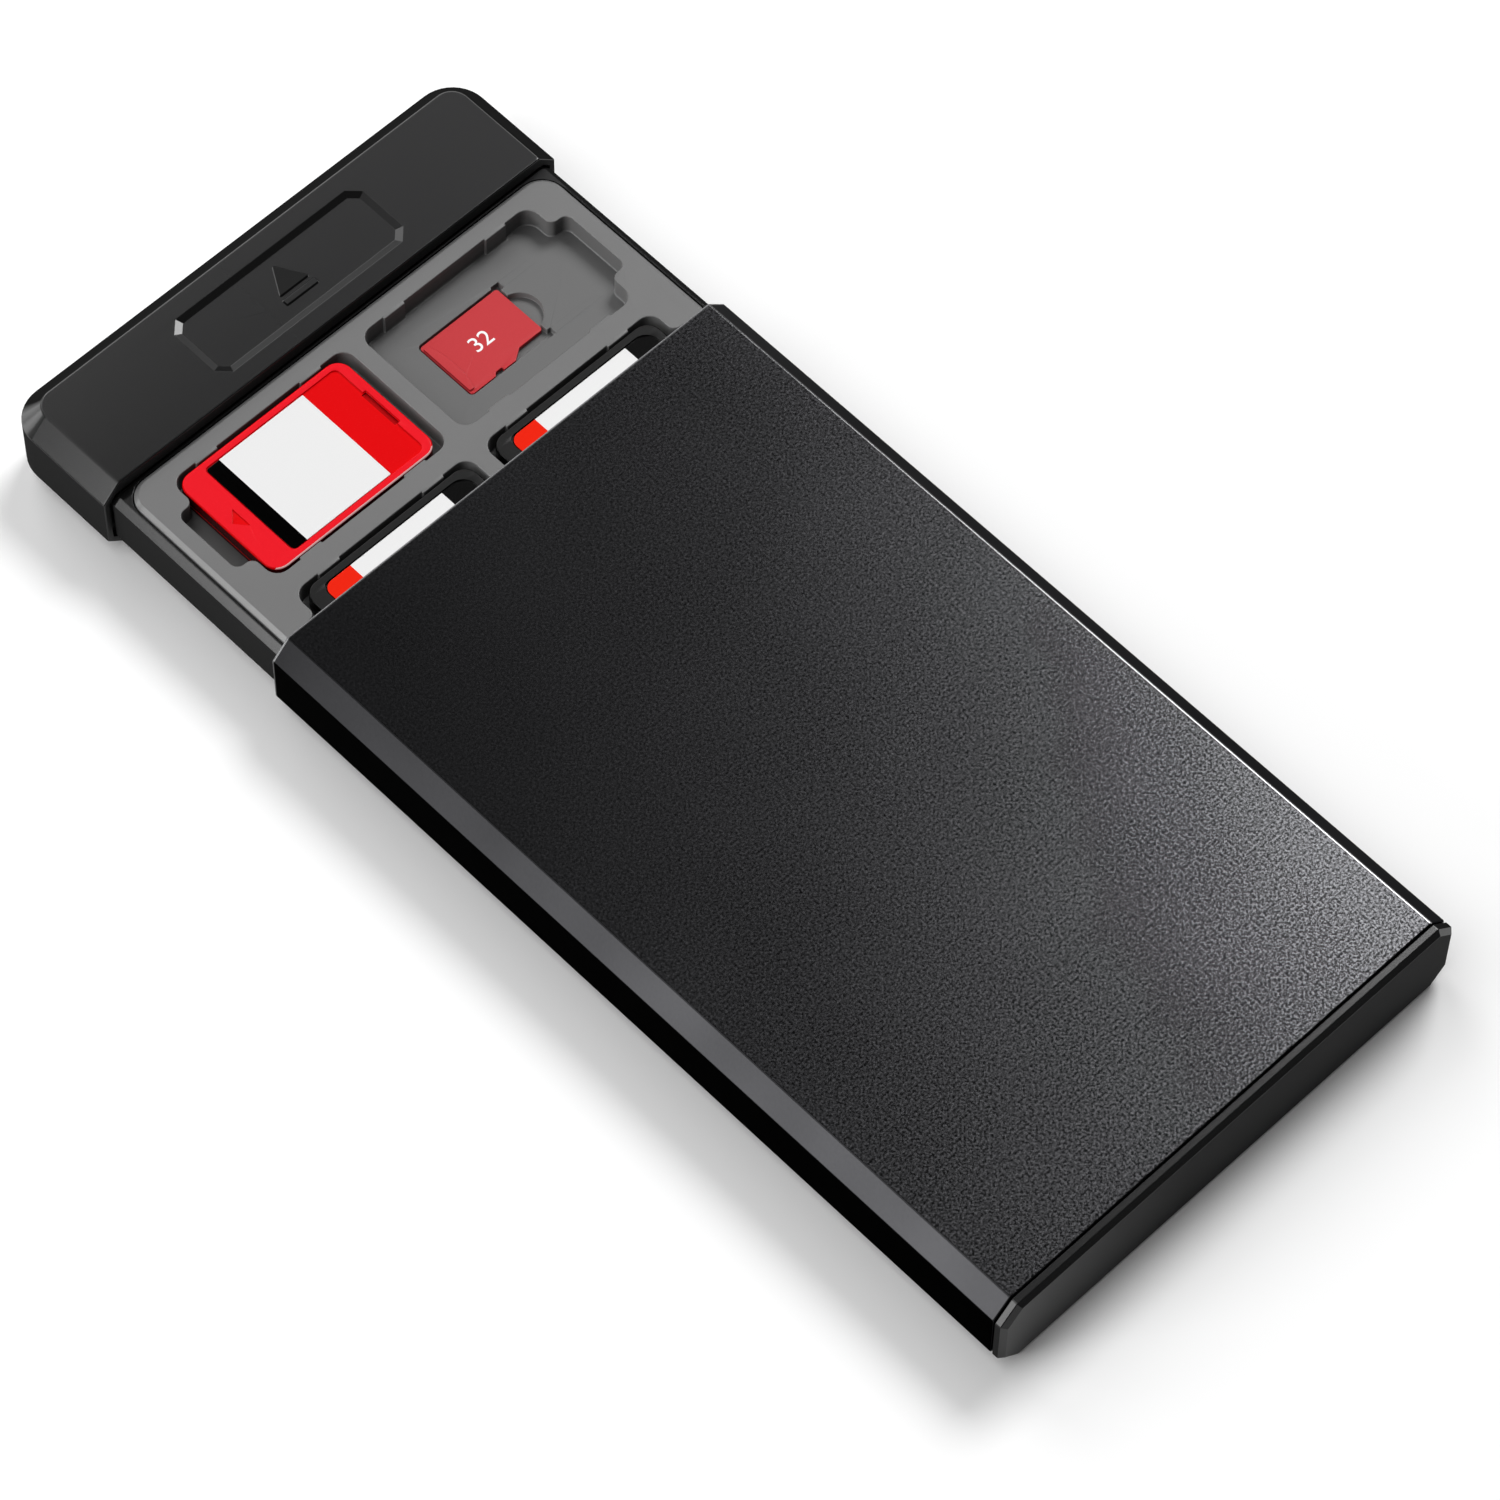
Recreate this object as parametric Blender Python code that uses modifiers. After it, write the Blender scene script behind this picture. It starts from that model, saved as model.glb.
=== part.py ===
"""Game card case: an octagonal aluminium sleeve with a two-sided drawer for game cards.

Metres, +Z up. The origin is the centre of the sleeve's flat underside. The sleeve runs
along Y, with its mouth and the drawer at -Y and its closed end at +Y. The drawer stands
part way out, so that its first row of pockets is clear of the sleeve.
"""
from math import atan2, cos, degrees, dist, pi, radians, sin, sqrt

import bmesh
import bpy
from mathutils import Matrix

# The two sorts of card that the case is made to hold
GAME_CARD_LENGTH = 0.0310
GAME_CARD_WIDTH = 0.0210
GAME_CARD_THICKNESS = 0.0033
GAME_CARD_CORNER = 0.0024
MICRO_CARD_LENGTH = 0.0150
MICRO_CARD_WIDTH = 0.0110
MICRO_CARD_THICKNESS = 0.0007

# Pockets for game cards: two across and ROWS along, on each side of the drawer
ROWS = 5
POCKET_END_ROOM = 0.00095
POCKET_SIDE_ROOM = 0.00055
POCKET_SPARE_DEPTH = 0.0002
POCKET_CORNER = 0.0022
CENTRE_WALL = 0.0028
ROW_WALL = 0.0034
END_MARGIN = 0.00325
SIDE_MARGIN = 0.00305

# The small ribs that grip a card, and the notch for a finger at its outer end
RIB_END_GAP = 0.00245
RIB_LENGTH = 0.00395
RIB_HEIGHT = 0.00035
FINGER_LENGTH = 0.0124
FINGER_DEPTH = 0.0030
FINGER_RADIUS = 0.0013

# The micro card pocket in the floor of each game card pocket
MICRO_ROOM = 0.00025
MICRO_SPARE_DEPTH = 0.00005
MICRO_POCKET_CORNER = 0.0007
MICRO_OFFSET = 0.00255
MICRO_FINGER_RADIUS = 0.0035
MICRO_FINGER_REACH = 0.00265

# Liner block
LINER_DEPTH = 0.0017
LINER_FLOOR = 0.00055
LINER_CORNER = 0.0038
LINER_EDGE = 0.0005
LINER_GAP = 0.00025
LINER_SEAT_GAP = 0.0003

# Drawer tray, with the ribbed tongue and snap lugs that hold the pull
WEB = 0.0008
RAIL_WALL = 0.00135
RIM_DEPTH = 0.00245
RIM_EDGE = 0.0003
TRAY_CORNER = 0.0016
RUNNING_GAP = 0.00035
TONGUE_WIDTH = 0.0774
TONGUE_LENGTH = 0.0150
TONGUE_STEP = 0.00085
TONGUE_WALL = 0.0012
TONGUE_CELLS = 4
LUG_WIDTH = 0.0060
LUG_LENGTH = 0.0016
LUG_HEIGHT = 0.0005
LUG_SPREAD = 0.0220

# Drawer pull
PULL_LENGTH = 0.0214
PULL_CORNER = 0.0060
LINER_SETBACK = 0.00065
JOINT_GAP = 0.0003
THUMB_LENGTH = 0.0362
THUMB_WIDTH = 0.0123
THUMB_CORNER_CUT = 0.0019
THUMB_DEPTH = 0.0003
THUMB_WALL = 0.0011
THUMB_SETBACK = 0.0091

# Sleeve and end cap
CASE_CHAMFER = 0.0030
SLEEVE_WALL = 0.0010
EDGE_RADIUS = 0.0003
RIM_CHAMFER = 0.0002
CLOSED_GAP = 0.0003
REAR_SPACE = 0.00345
CAP_SEAM = 0.0003
CAP_PLATE = 0.0017
CAP_EDGE = 0.00075
CAP_PLUG = 0.0040
CAP_WALL = 0.0012

# Game card mouldings
BACK_SHELL = 0.0008
BOARD_THICKNESS = 0.0008
BOARD_ROOM = 0.0002
CARD_WALL = 0.0013
CARD_GAP = 0.0001
CARD_EDGE = 0.0003
CONTACT_LENGTH = 0.0060
CONTACT_MARGIN = 0.0022
CONTACT_SIDE_MARGIN = 0.0030
PADS = 8
PAD_LENGTH = 0.0044
PAD_WIDTH = 0.0012
PAD_HEIGHT = 0.00005

# Label recess of a red card and of a black card, from the end that goes in first
LABEL_RECESS = 0.00025
LABEL_THICKNESS = 0.00012
LABEL_GAP = 0.00005
LABEL_ROOM = 0.00015
RED_ARROW_MARGIN = 0.00446
RED_SIDE_MARGIN = 0.00115
RED_RECESS_LENGTH = 0.02484
RED_RECESS_CORNER = 0.0015
RED_LABEL_LENGTH = 0.0186
BLACK_ARROW_MARGIN = 0.0025
BLACK_SIDE_MARGIN = 0.0013
BLACK_RECESS_LENGTH = 0.0271
BLACK_RECESS_CORNER = 0.0015
BLACK_LABEL_LENGTH = 0.0228
GRIP_SLOT_LENGTH = 0.0072
GRIP_SLOT_WIDTH = 0.0009
GRIP_SLOT_DEPTH = 0.0003
GRIP_SLOT_REACH = 0.00055

# Micro card: a raised lip at one end, a narrow contact end and a small side notch
LIP_WIDTH = 0.0011
LIP_THICKNESS = 0.0010
NARROW_LENGTH = 0.0046
NARROW_STEP = 0.0013
SLANT_LENGTH = 0.0019
NOTCH_START = 0.0087
NOTCH_LENGTH = 0.0017
NOTCH_DEPTH = 0.00055
MICRO_CARD_CORNER = 0.0005

# How far the drawer stands open, and how the cards lie in their pockets
DRAWER_OPEN = 0.03495
RED_CARD_SHIFT = 0.0006
BLACK_CARD_SHIFT = -0.00015

# One overrun for every cut, the smallest step for joining doubled points, and facets
CUT_OVERRUN = 0.0010
WELD = 0.0000005
CORNER_STEPS = 4
SMALL_CORNER_STEPS = 3
PULL_CORNER_STEPS = 8
FINGER_STEPS = 8
EDGE_STEPS = 2
SHARP_ANGLE = radians(30)
SQUARE_ANGLE = radians(60)
FLAT_ANGLE = radians(0.1)

# Heights of the stack, from the case's face down to its middle
game_pocket_depth = GAME_CARD_THICKNESS + POCKET_SPARE_DEPTH
micro_pocket_depth = LIP_THICKNESS + MICRO_SPARE_DEPTH
liner_thickness = game_pocket_depth + micro_pocket_depth + LINER_FLOOR
half_height = LINER_DEPTH + liner_thickness + LINER_SEAT_GAP + WEB / 2
mid_z = half_height

# Pockets across and along a liner
pocket_length = GAME_CARD_LENGTH + 2 * POCKET_END_ROOM
pocket_width = GAME_CARD_WIDTH + 2 * POCKET_SIDE_ROOM
pocket_x = CENTRE_WALL / 2 + pocket_length / 2
row_pitch = pocket_width + ROW_WALL
liner_half_width = CENTRE_WALL / 2 + pocket_length + FINGER_DEPTH + SIDE_MARGIN
liner_length = 2 * END_MARGIN + ROWS * pocket_width + (ROWS - 1) * ROW_WALL

# Half widths, and lengths along Y with the drawer where it stands
tray_half_width = liner_half_width + LINER_GAP + RAIL_WALL
case_half_width = tray_half_width + RUNNING_GAP + SLEEVE_WALL
tray_reach = LINER_SETBACK + liner_length + LINER_GAP + RAIL_WALL
sleeve_length = tray_reach - CLOSED_GAP + REAR_SPACE + CAP_PLUG
mouth_y = -sleeve_length / 2
end_y = sleeve_length / 2
pull_rear_y = mouth_y - DRAWER_OPEN
pull_front_y = pull_rear_y - PULL_LENGTH
liner_front_y = pull_rear_y + LINER_SETBACK
liner_rear_y = liner_front_y + liner_length
tray_front_y = liner_front_y - LINER_GAP - RAIL_WALL
tray_rear_y = liner_rear_y + LINER_GAP + RAIL_WALL
tongue_front_y = tray_front_y - TONGUE_LENGTH


def grown(section, gap):
    """A section with every face moved out by gap, or in where gap is negative.

    A section is an octagon, given as its half width, half height and corner cut.
    """
    half_width, half_tall, corner_cut = section
    return half_width + gap, half_tall + gap, corner_cut + gap * (2 - sqrt(2))


case_section = (case_half_width, half_height, CASE_CHAMFER)
bore_section = grown(case_section, -SLEEVE_WALL)
running_section = grown(bore_section, -RUNNING_GAP)


def edge_inside_bore(half_width, half_tall, least):
    """The edge cut that keeps a corner of the drawer inside the bore's running section."""
    running_width, running_tall, running_cut = running_section
    return max(least, half_width + half_tall - (running_width + running_tall - running_cut))


tray_half_tall = half_height - RIM_DEPTH
tray_edge = edge_inside_bore(tray_half_width, tray_half_tall, RIM_EDGE)
tray_section = (tray_half_width, tray_half_tall, tray_edge)
tongue_half_tall = tray_half_tall - TONGUE_STEP


# Scene, collections and materials

def new_collection(name):
    """A collection linked to the scene."""
    made = bpy.data.collections.new(name)
    bpy.context.scene.collection.children.link(made)
    return made


for old in list(bpy.data.objects):
    bpy.data.objects.remove(old, do_unlink=True)
PART = new_collection("game_card_case")
CUTTERS = new_collection("cutters")


def material(name, colour, roughness, metallic=0.0):
    """A Principled material with a colour, a roughness and a metallic value."""
    made = bpy.data.materials.new(name)
    made.use_nodes = True
    shader = made.node_tree.nodes["Principled BSDF"]
    shader.inputs["Base Color"].default_value = (*colour, 1.0)
    shader.inputs["Roughness"].default_value = roughness
    shader.inputs["Metallic"].default_value = metallic
    return made


anodised = material("anodised_aluminium", (0.045, 0.045, 0.047), 0.45, 0.8)
black_plastic = material("black_plastic", (0.030, 0.030, 0.031), 0.5)
grey_rubber = material("grey_rubber", (0.175, 0.175, 0.175), 0.6)
red_plastic = material("red_plastic", (0.80, 0.003, 0.006), 0.4)
card_black = material("card_black_plastic", (0.008, 0.008, 0.008), 0.45)
board_green = material("circuit_board", (0.02, 0.16, 0.05), 0.5)
label_white = material("printed_label", (0.85, 0.85, 0.85), 0.55)
micro_red = material("micro_card_red", (0.58, 0.05, 0.06), 0.4)


# Flat outlines

def octagon(section):
    """The eight corners of a section, in order round it."""
    half_width, half_tall, corner_cut = section
    right = [(half_width - corner_cut, -half_tall), (half_width, corner_cut - half_tall),
             (half_width, half_tall - corner_cut), (half_width - corner_cut, half_tall)]
    return right + [(-across, up) for across, up in reversed(right)]


def rectangle(low, high):
    """The four corners of a plain rectangle."""
    return [low, (high[0], low[1]), high, (low[0], high[1])]


def arc(centre, radius, start, stop, steps=CORNER_STEPS):
    """Points on an arc from start to stop, in degrees."""
    turns = [radians(start + (stop - start) * step / steps) for step in range(steps + 1)]
    return [(centre[0] + radius * cos(turn), centre[1] + radius * sin(turn)) for turn in turns]


def rounded_rectangle(low, high, radius, steps=CORNER_STEPS):
    """A rectangle with four round corners."""
    (left, front), (right, rear) = low, high
    return (arc((left + radius, front + radius), radius, 180, 270, steps)
            + arc((right - radius, front + radius), radius, 270, 360, steps)
            + arc((right - radius, rear - radius), radius, 0, 90, steps)
            + arc((left + radius, rear - radius), radius, 90, 180, steps))


def placed(outline, centre, side=1):
    """An outline moved to its centre, with its +X end turned to -X where side is -1."""
    points = [(centre[0] + side * across, centre[1] + up) for across, up in outline]
    return points if side > 0 else points[::-1]


# Solids from outlines

def prism(name, outlines, low, high, axis="Z", fill="BOTH"):
    """Flat outlines extruded from low to high, along Z, or along Y for a section."""
    curve = bpy.data.curves.new(name, "CURVE")
    curve.dimensions = "2D"
    curve.fill_mode = fill
    curve.extrude = (high - low) / 2
    for outline in outlines:
        spline = curve.splines.new("POLY")
        spline.points.add(len(outline) - 1)
        for point, (across, up) in zip(spline.points, outline):
            point.co = (across, up, 0, 1)
        spline.use_cyclic_u = True
    flat = bpy.data.objects.new(name + "_outline", curve)
    PART.objects.link(flat)
    middle = (low + high) / 2
    if axis == "Z":
        flat.matrix_world = Matrix.Translation((0, 0, middle))
    else:
        flat.matrix_world = Matrix.Translation((0, middle, 0)) @ Matrix.Rotation(pi / 2, 4, "X")
    bpy.context.view_layer.update()
    mesh = bpy.data.meshes.new_from_object(flat.evaluated_get(bpy.context.evaluated_depsgraph_get()))
    made = bpy.data.objects.new(name, mesh)
    mesh.transform(flat.matrix_world)
    bpy.data.objects.remove(flat, do_unlink=True)
    PART.objects.link(made)
    shape = bmesh.new()
    shape.from_mesh(mesh)
    bmesh.ops.remove_doubles(shape, verts=shape.verts, dist=WELD)
    bmesh.ops.dissolve_limit(shape, angle_limit=FLAT_ANGLE, verts=shape.verts, edges=shape.edges)
    bmesh.ops.recalc_face_normals(shape, faces=shape.faces)
    shape.to_mesh(mesh)
    shape.free()
    return made


def section_prism(name, section, low, high, fill="BOTH"):
    """A section of the case, at its middle height, extruded along Y."""
    outline = placed(octagon(section), (0, mid_z))
    return prism(name, [outline], low, high, axis="Y", fill=fill)


def lies_at(axis, place):
    """A test for edges whose two ends both lie at one place along an axis."""
    return lambda edge: all(abs(vert.co[axis] - place) < WELD for vert in edge.verts)


def bevel(made, chosen, width, segments=1):
    """Bevel the edges of an object that a test picks out."""
    shape = bmesh.new()
    shape.from_mesh(made.data)
    edges = [edge for edge in shape.edges if chosen(edge)]
    bmesh.ops.bevel(shape, geom=edges, offset=width, segments=segments, profile=0.5,
                    affect="EDGES", clamp_overlap=False)
    shape.to_mesh(made.data)
    shape.free()


def combine(made, tool, operation):
    """Cut or join another solid, which moves to the cutters as a hidden wire."""
    PART.objects.unlink(tool)
    CUTTERS.objects.link(tool)
    tool.hide_render = True
    tool.display_type = "WIRE"
    step = made.modifiers.new(tool.name, "BOOLEAN")
    step.operation = operation
    step.solver = "EXACT"
    step.object = tool


def cut(made, tool):
    combine(made, tool, "DIFFERENCE")


def join(made, tool):
    combine(made, tool, "UNION")


def finish(made, look):
    """Give a sub-part its material and smooth round faces."""
    made.data.materials.clear()
    made.data.materials.append(look)
    made.data.shade_smooth()
    made.data.set_sharp_from_angle(angle=SHARP_ANGLE)
    return made


# Sleeve: one aluminium extrusion, open at both ends

def make_sleeve():
    """An open octagonal skin, rounded along its edges, thickened inwards and eased at its rims."""
    sleeve = section_prism("sleeve", case_section, mouth_y, end_y, fill="NONE")
    rounding = sleeve.modifiers.new("long_edges", "BEVEL")
    rounding.width = EDGE_RADIUS
    rounding.segments = EDGE_STEPS
    rounding.limit_method = "ANGLE"
    rounding.angle_limit = SHARP_ANGLE
    wall = sleeve.modifiers.new("wall", "SOLIDIFY")
    wall.thickness = SLEEVE_WALL
    wall.offset = -1
    wall.use_even_offset = True
    rims = sleeve.modifiers.new("rims", "BEVEL")
    rims.width = RIM_CHAMFER
    rims.segments = 1
    rims.limit_method = "ANGLE"
    rims.angle_limit = SQUARE_ANGLE
    return finish(sleeve, anodised)


# End cap: a moulded plate with the sleeve's outline, and a hollow plug that fits its bore

def make_end_cap():
    plate_y = end_y + CAP_SEAM
    face_y = plate_y + CAP_PLATE
    plug_y = end_y - CAP_PLUG
    plug_section = grown(bore_section, -CAP_SEAM)
    end_cap = section_prism("end_cap", case_section, plate_y, face_y)
    bevel(end_cap, lies_at(1, face_y), CAP_EDGE)
    join(end_cap, section_prism("cap_plug", plug_section, plug_y, (plate_y + face_y) / 2))
    cut(end_cap, section_prism("cap_hollow", grown(plug_section, -CAP_WALL),
                               plug_y - CUT_OVERRUN, end_y))
    return finish(end_cap, black_plastic)


# Drawer tray: two shallow frames back to back on one web, with a tongue that holds the pull

def liner_outline(spare=0.0):
    """The liner's plan, grown by spare for the recess that it lies in."""
    return rounded_rectangle((-liner_half_width - spare, liner_front_y - spare),
                             (liner_half_width + spare, liner_rear_y + spare),
                             LINER_CORNER + spare)


def lug_outlines(spare=0.0):
    """The plans of the two snap lugs on one face of the tongue, grown by spare."""
    half_width = LUG_WIDTH / 2 + spare
    half_length = LUG_LENGTH / 2 + spare
    lug = rectangle((-half_width, -half_length), (half_width, half_length))
    middle_y = (tray_front_y + tongue_front_y) / 2
    return [placed(lug, (side * LUG_SPREAD, middle_y)) for side in (-1, 1)]


def tongue_cells():
    """The plans of the hollows between the tongue's ribs, open towards the pull."""
    inside = TONGUE_WIDTH - (TONGUE_CELLS + 1) * TONGUE_WALL
    cell = inside / TONGUE_CELLS
    rear = tray_front_y - TONGUE_WALL
    lefts = [TONGUE_WALL - TONGUE_WIDTH / 2 + number * (cell + TONGUE_WALL)
             for number in range(TONGUE_CELLS)]
    return [rectangle((left, tongue_front_y - CUT_OVERRUN), (left + cell, rear)) for left in lefts]


def make_drawer_tray():
    low, high = mid_z - tray_half_tall, mid_z + tray_half_tall
    tongue_low, tongue_high = mid_z - tongue_half_tall, mid_z + tongue_half_tall
    plan = rounded_rectangle((-tray_half_width, tray_front_y), (tray_half_width, tray_rear_y),
                             TRAY_CORNER)
    tray = prism("drawer_tray", [plan], low, high)
    bevel(tray, lies_at(2, low), tray_edge)
    bevel(tray, lies_at(2, high), tray_edge)
    tongue_plan = rectangle((-TONGUE_WIDTH / 2, tongue_front_y),
                            (TONGUE_WIDTH / 2, tray_front_y + RAIL_WALL / 2))
    join(tray, prism("tongue", [tongue_plan], tongue_low, tongue_high))
    cut(tray, prism("tongue_cells", tongue_cells(), tongue_low + TONGUE_WALL, tongue_high - TONGUE_WALL))
    join(tray, prism("upper_lugs", lug_outlines(), tongue_high - TONGUE_WALL / 2,
                     tongue_high + LUG_HEIGHT))
    join(tray, prism("lower_lugs", lug_outlines(), tongue_low - LUG_HEIGHT,
                     tongue_low + TONGUE_WALL / 2))
    recess = liner_outline(LINER_GAP)
    cut(tray, prism("upper_recess", [recess], mid_z + WEB / 2, high + CUT_OVERRUN))
    cut(tray, prism("lower_recess", [recess], low - CUT_OVERRUN, mid_z - WEB / 2))
    return finish(tray, black_plastic)


# Drawer pull: a moulding with the sleeve's section, and a thumb recess on both faces

def thumb_outline(growth):
    """The plan of the thumb recess at the pull's face, with every side moved out by growth."""
    section = grown((THUMB_LENGTH / 2, THUMB_WIDTH / 2, THUMB_CORNER_CUT), growth)
    return placed(octagon(section), (0, pull_rear_y - THUMB_SETBACK))


def thumb_cutter(name, way):
    """The octagonal recess with gently sloping walls, in the upper face where way is 1."""
    face_z = mid_z + way * half_height
    floor_z = face_z - way * THUMB_DEPTH
    out_z = face_z + way * CUT_OVERRUN
    brim = thumb_outline(CUT_OVERRUN * THUMB_WALL / THUMB_DEPTH)
    foot = thumb_outline(-THUMB_WALL)
    cutter = prism(name, [brim], min(floor_z, out_z), max(floor_z, out_z))
    for vert in cutter.data.vertices:
        if abs(vert.co.z - floor_z) < WELD:
            corner = min(range(len(brim)), key=lambda number: dist(brim[number], vert.co.xy))
            vert.co.xy = foot[corner]
    return cutter


def make_drawer_pull():
    left, right = -case_half_width, case_half_width
    plan = (arc((left + PULL_CORNER, pull_front_y + PULL_CORNER), PULL_CORNER, 180, 270,
                PULL_CORNER_STEPS)
            + arc((right - PULL_CORNER, pull_front_y + PULL_CORNER), PULL_CORNER, 270, 360,
                  PULL_CORNER_STEPS)
            + [(right, pull_rear_y), (left, pull_rear_y)])
    pull = prism("drawer_pull", [plan], mid_z - half_height, mid_z + half_height)
    at_rear = lies_at(1, pull_rear_y)
    for way in (-1, 1):
        on_face = lies_at(2, mid_z + way * half_height)
        bevel(pull, lambda edge: on_face(edge) and not at_rear(edge), CASE_CHAMFER)
    bevel(pull, lambda edge: edge.calc_face_angle(0) > SHARP_ANGLE, EDGE_RADIUS, EDGE_STEPS)
    cavity_half_width = TONGUE_WIDTH / 2 + JOINT_GAP
    cavity_half_tall = tongue_half_tall + JOINT_GAP
    cavity_plan = rectangle((-cavity_half_width, tongue_front_y - JOINT_GAP),
                            (cavity_half_width, pull_rear_y))
    slot_half_tall = cavity_half_tall + LUG_HEIGHT
    cut(pull, section_prism("tray_rebate", grown(tray_section, JOINT_GAP),
                            tray_front_y - JOINT_GAP, pull_rear_y + CUT_OVERRUN))
    cut(pull, prism("tongue_cavity", [cavity_plan], mid_z - cavity_half_tall, mid_z + cavity_half_tall))
    cut(pull, prism("lug_slots", lug_outlines(JOINT_GAP), mid_z - slot_half_tall, mid_z + slot_half_tall))
    cut(pull, thumb_cutter("upper_thumb_recess", 1))
    cut(pull, thumb_cutter("lower_thumb_recess", -1))
    return finish(pull, black_plastic)


# Card liners: soft moulded blocks, ten game card pockets each, a micro card pocket in every floor

def game_pocket_outline():
    """A pocket with round corners, four grip ribs, and a finger notch on its +X end.

    The half below the pocket's centre line is drawn, then mirrored for the other half.
    """
    long, wide = pocket_length / 2, pocket_width / 2
    crest = -wide + RIB_HEIGHT
    rib_outer = long - POCKET_CORNER - RIB_END_GAP
    rib_inner = rib_outer - RIB_LENGTH
    notch = FINGER_LENGTH / 2
    half = arc((-long + POCKET_CORNER, -wide + POCKET_CORNER), POCKET_CORNER, 180, 270)
    half += [(-rib_outer, -wide), (-rib_outer, crest), (-rib_inner, crest), (-rib_inner, -wide)]
    half += [(rib_inner, -wide), (rib_inner, crest), (rib_outer, crest), (rib_outer, -wide)]
    half += arc((long - POCKET_CORNER, -wide + POCKET_CORNER), POCKET_CORNER, 270, 360)
    half += arc((long + FINGER_RADIUS, -notch - FINGER_RADIUS), FINGER_RADIUS, 180, 90,
                SMALL_CORNER_STEPS)
    half += arc((long + FINGER_DEPTH - FINGER_RADIUS, -notch + FINGER_RADIUS), FINGER_RADIUS,
                270, 360, SMALL_CORNER_STEPS)
    return half + [(across, -up) for across, up in reversed(half)]


def micro_pocket_outline():
    """A rounded rectangle with a round finger notch on its +X end."""
    long = MICRO_CARD_LENGTH / 2 + MICRO_ROOM
    wide = MICRO_CARD_WIDTH / 2 + MICRO_ROOM
    corner = MICRO_POCKET_CORNER
    notch_x = long + MICRO_FINGER_REACH - MICRO_FINGER_RADIUS
    run = long - notch_x
    half_angle = degrees(atan2(sqrt(MICRO_FINGER_RADIUS ** 2 - run ** 2), run))
    plain = rounded_rectangle((-long, -wide), (long, wide), corner, SMALL_CORNER_STEPS)
    corner_points = SMALL_CORNER_STEPS + 1
    notch = arc((notch_x, 0), MICRO_FINGER_RADIUS, -half_angle, half_angle, FINGER_STEPS)
    return plain[:2 * corner_points] + notch + plain[2 * corner_points:]


def pocket_centre(row, side):
    """The centre of a game card pocket; rows count from the pull, and side is -1 or 1."""
    first_y = liner_front_y + END_MARGIN + pocket_width / 2
    return side * pocket_x, first_y + row * row_pitch


def micro_centre(row, side):
    """The centre of the micro card pocket in a game card pocket's floor."""
    x, y = pocket_centre(row, side)
    return x - side * MICRO_OFFSET, y


def make_liner(name, way):
    """A liner whose pockets open upwards where way is 1, and downwards where it is -1."""
    face_z = mid_z + way * (half_height - LINER_DEPTH)
    back_z = face_z - way * liner_thickness
    game_floor_z = face_z - way * game_pocket_depth
    micro_floor_z = game_floor_z - way * micro_pocket_depth
    out_z = face_z + way * CUT_OVERRUN
    liner = prism(name, [liner_outline()], min(face_z, back_z), max(face_z, back_z))
    bevel(liner, lies_at(2, face_z),
          edge_inside_bore(liner_half_width, half_height - LINER_DEPTH, LINER_EDGE))
    places = [(row, side) for row in range(ROWS) for side in (-1, 1)]
    game = [placed(game_pocket_outline(), pocket_centre(row, side), side) for row, side in places]
    micro = [placed(micro_pocket_outline(), micro_centre(row, side), side) for row, side in places]
    cut(liner, prism(name + "_game_pockets", game, min(game_floor_z, out_z), max(game_floor_z, out_z)))
    cut(liner, prism(name + "_micro_pockets", micro, min(micro_floor_z, out_z), max(micro_floor_z, out_z)))
    return finish(liner, grey_rubber)


# Game cards: a front shell over a contact board and a back shell, with a printed label

RED_CARD = {"shell": red_plastic, "arrow_margin": RED_ARROW_MARGIN,
            "side_margin": RED_SIDE_MARGIN, "recess_length": RED_RECESS_LENGTH,
            "recess_corner": RED_RECESS_CORNER, "label_length": RED_LABEL_LENGTH}
BLACK_CARD = {"shell": card_black, "arrow_margin": BLACK_ARROW_MARGIN,
              "side_margin": BLACK_SIDE_MARGIN, "recess_length": BLACK_RECESS_LENGTH,
              "recess_corner": BLACK_RECESS_CORNER, "label_length": BLACK_LABEL_LENGTH}


def contact_pads(x, y):
    """The plans of the contact pads, side by side across the contact window."""
    window = GAME_CARD_WIDTH - 2 * CONTACT_SIDE_MARGIN
    middle_x = x + GAME_CARD_LENGTH / 2 - CONTACT_MARGIN - CONTACT_LENGTH / 2
    pad = rectangle((-PAD_LENGTH / 2, -PAD_WIDTH / 2), (PAD_LENGTH / 2, PAD_WIDTH / 2))
    return [placed(pad, (middle_x, y + window * ((number + 0.5) / PADS - 0.5)))
            for number in range(PADS)]


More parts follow.
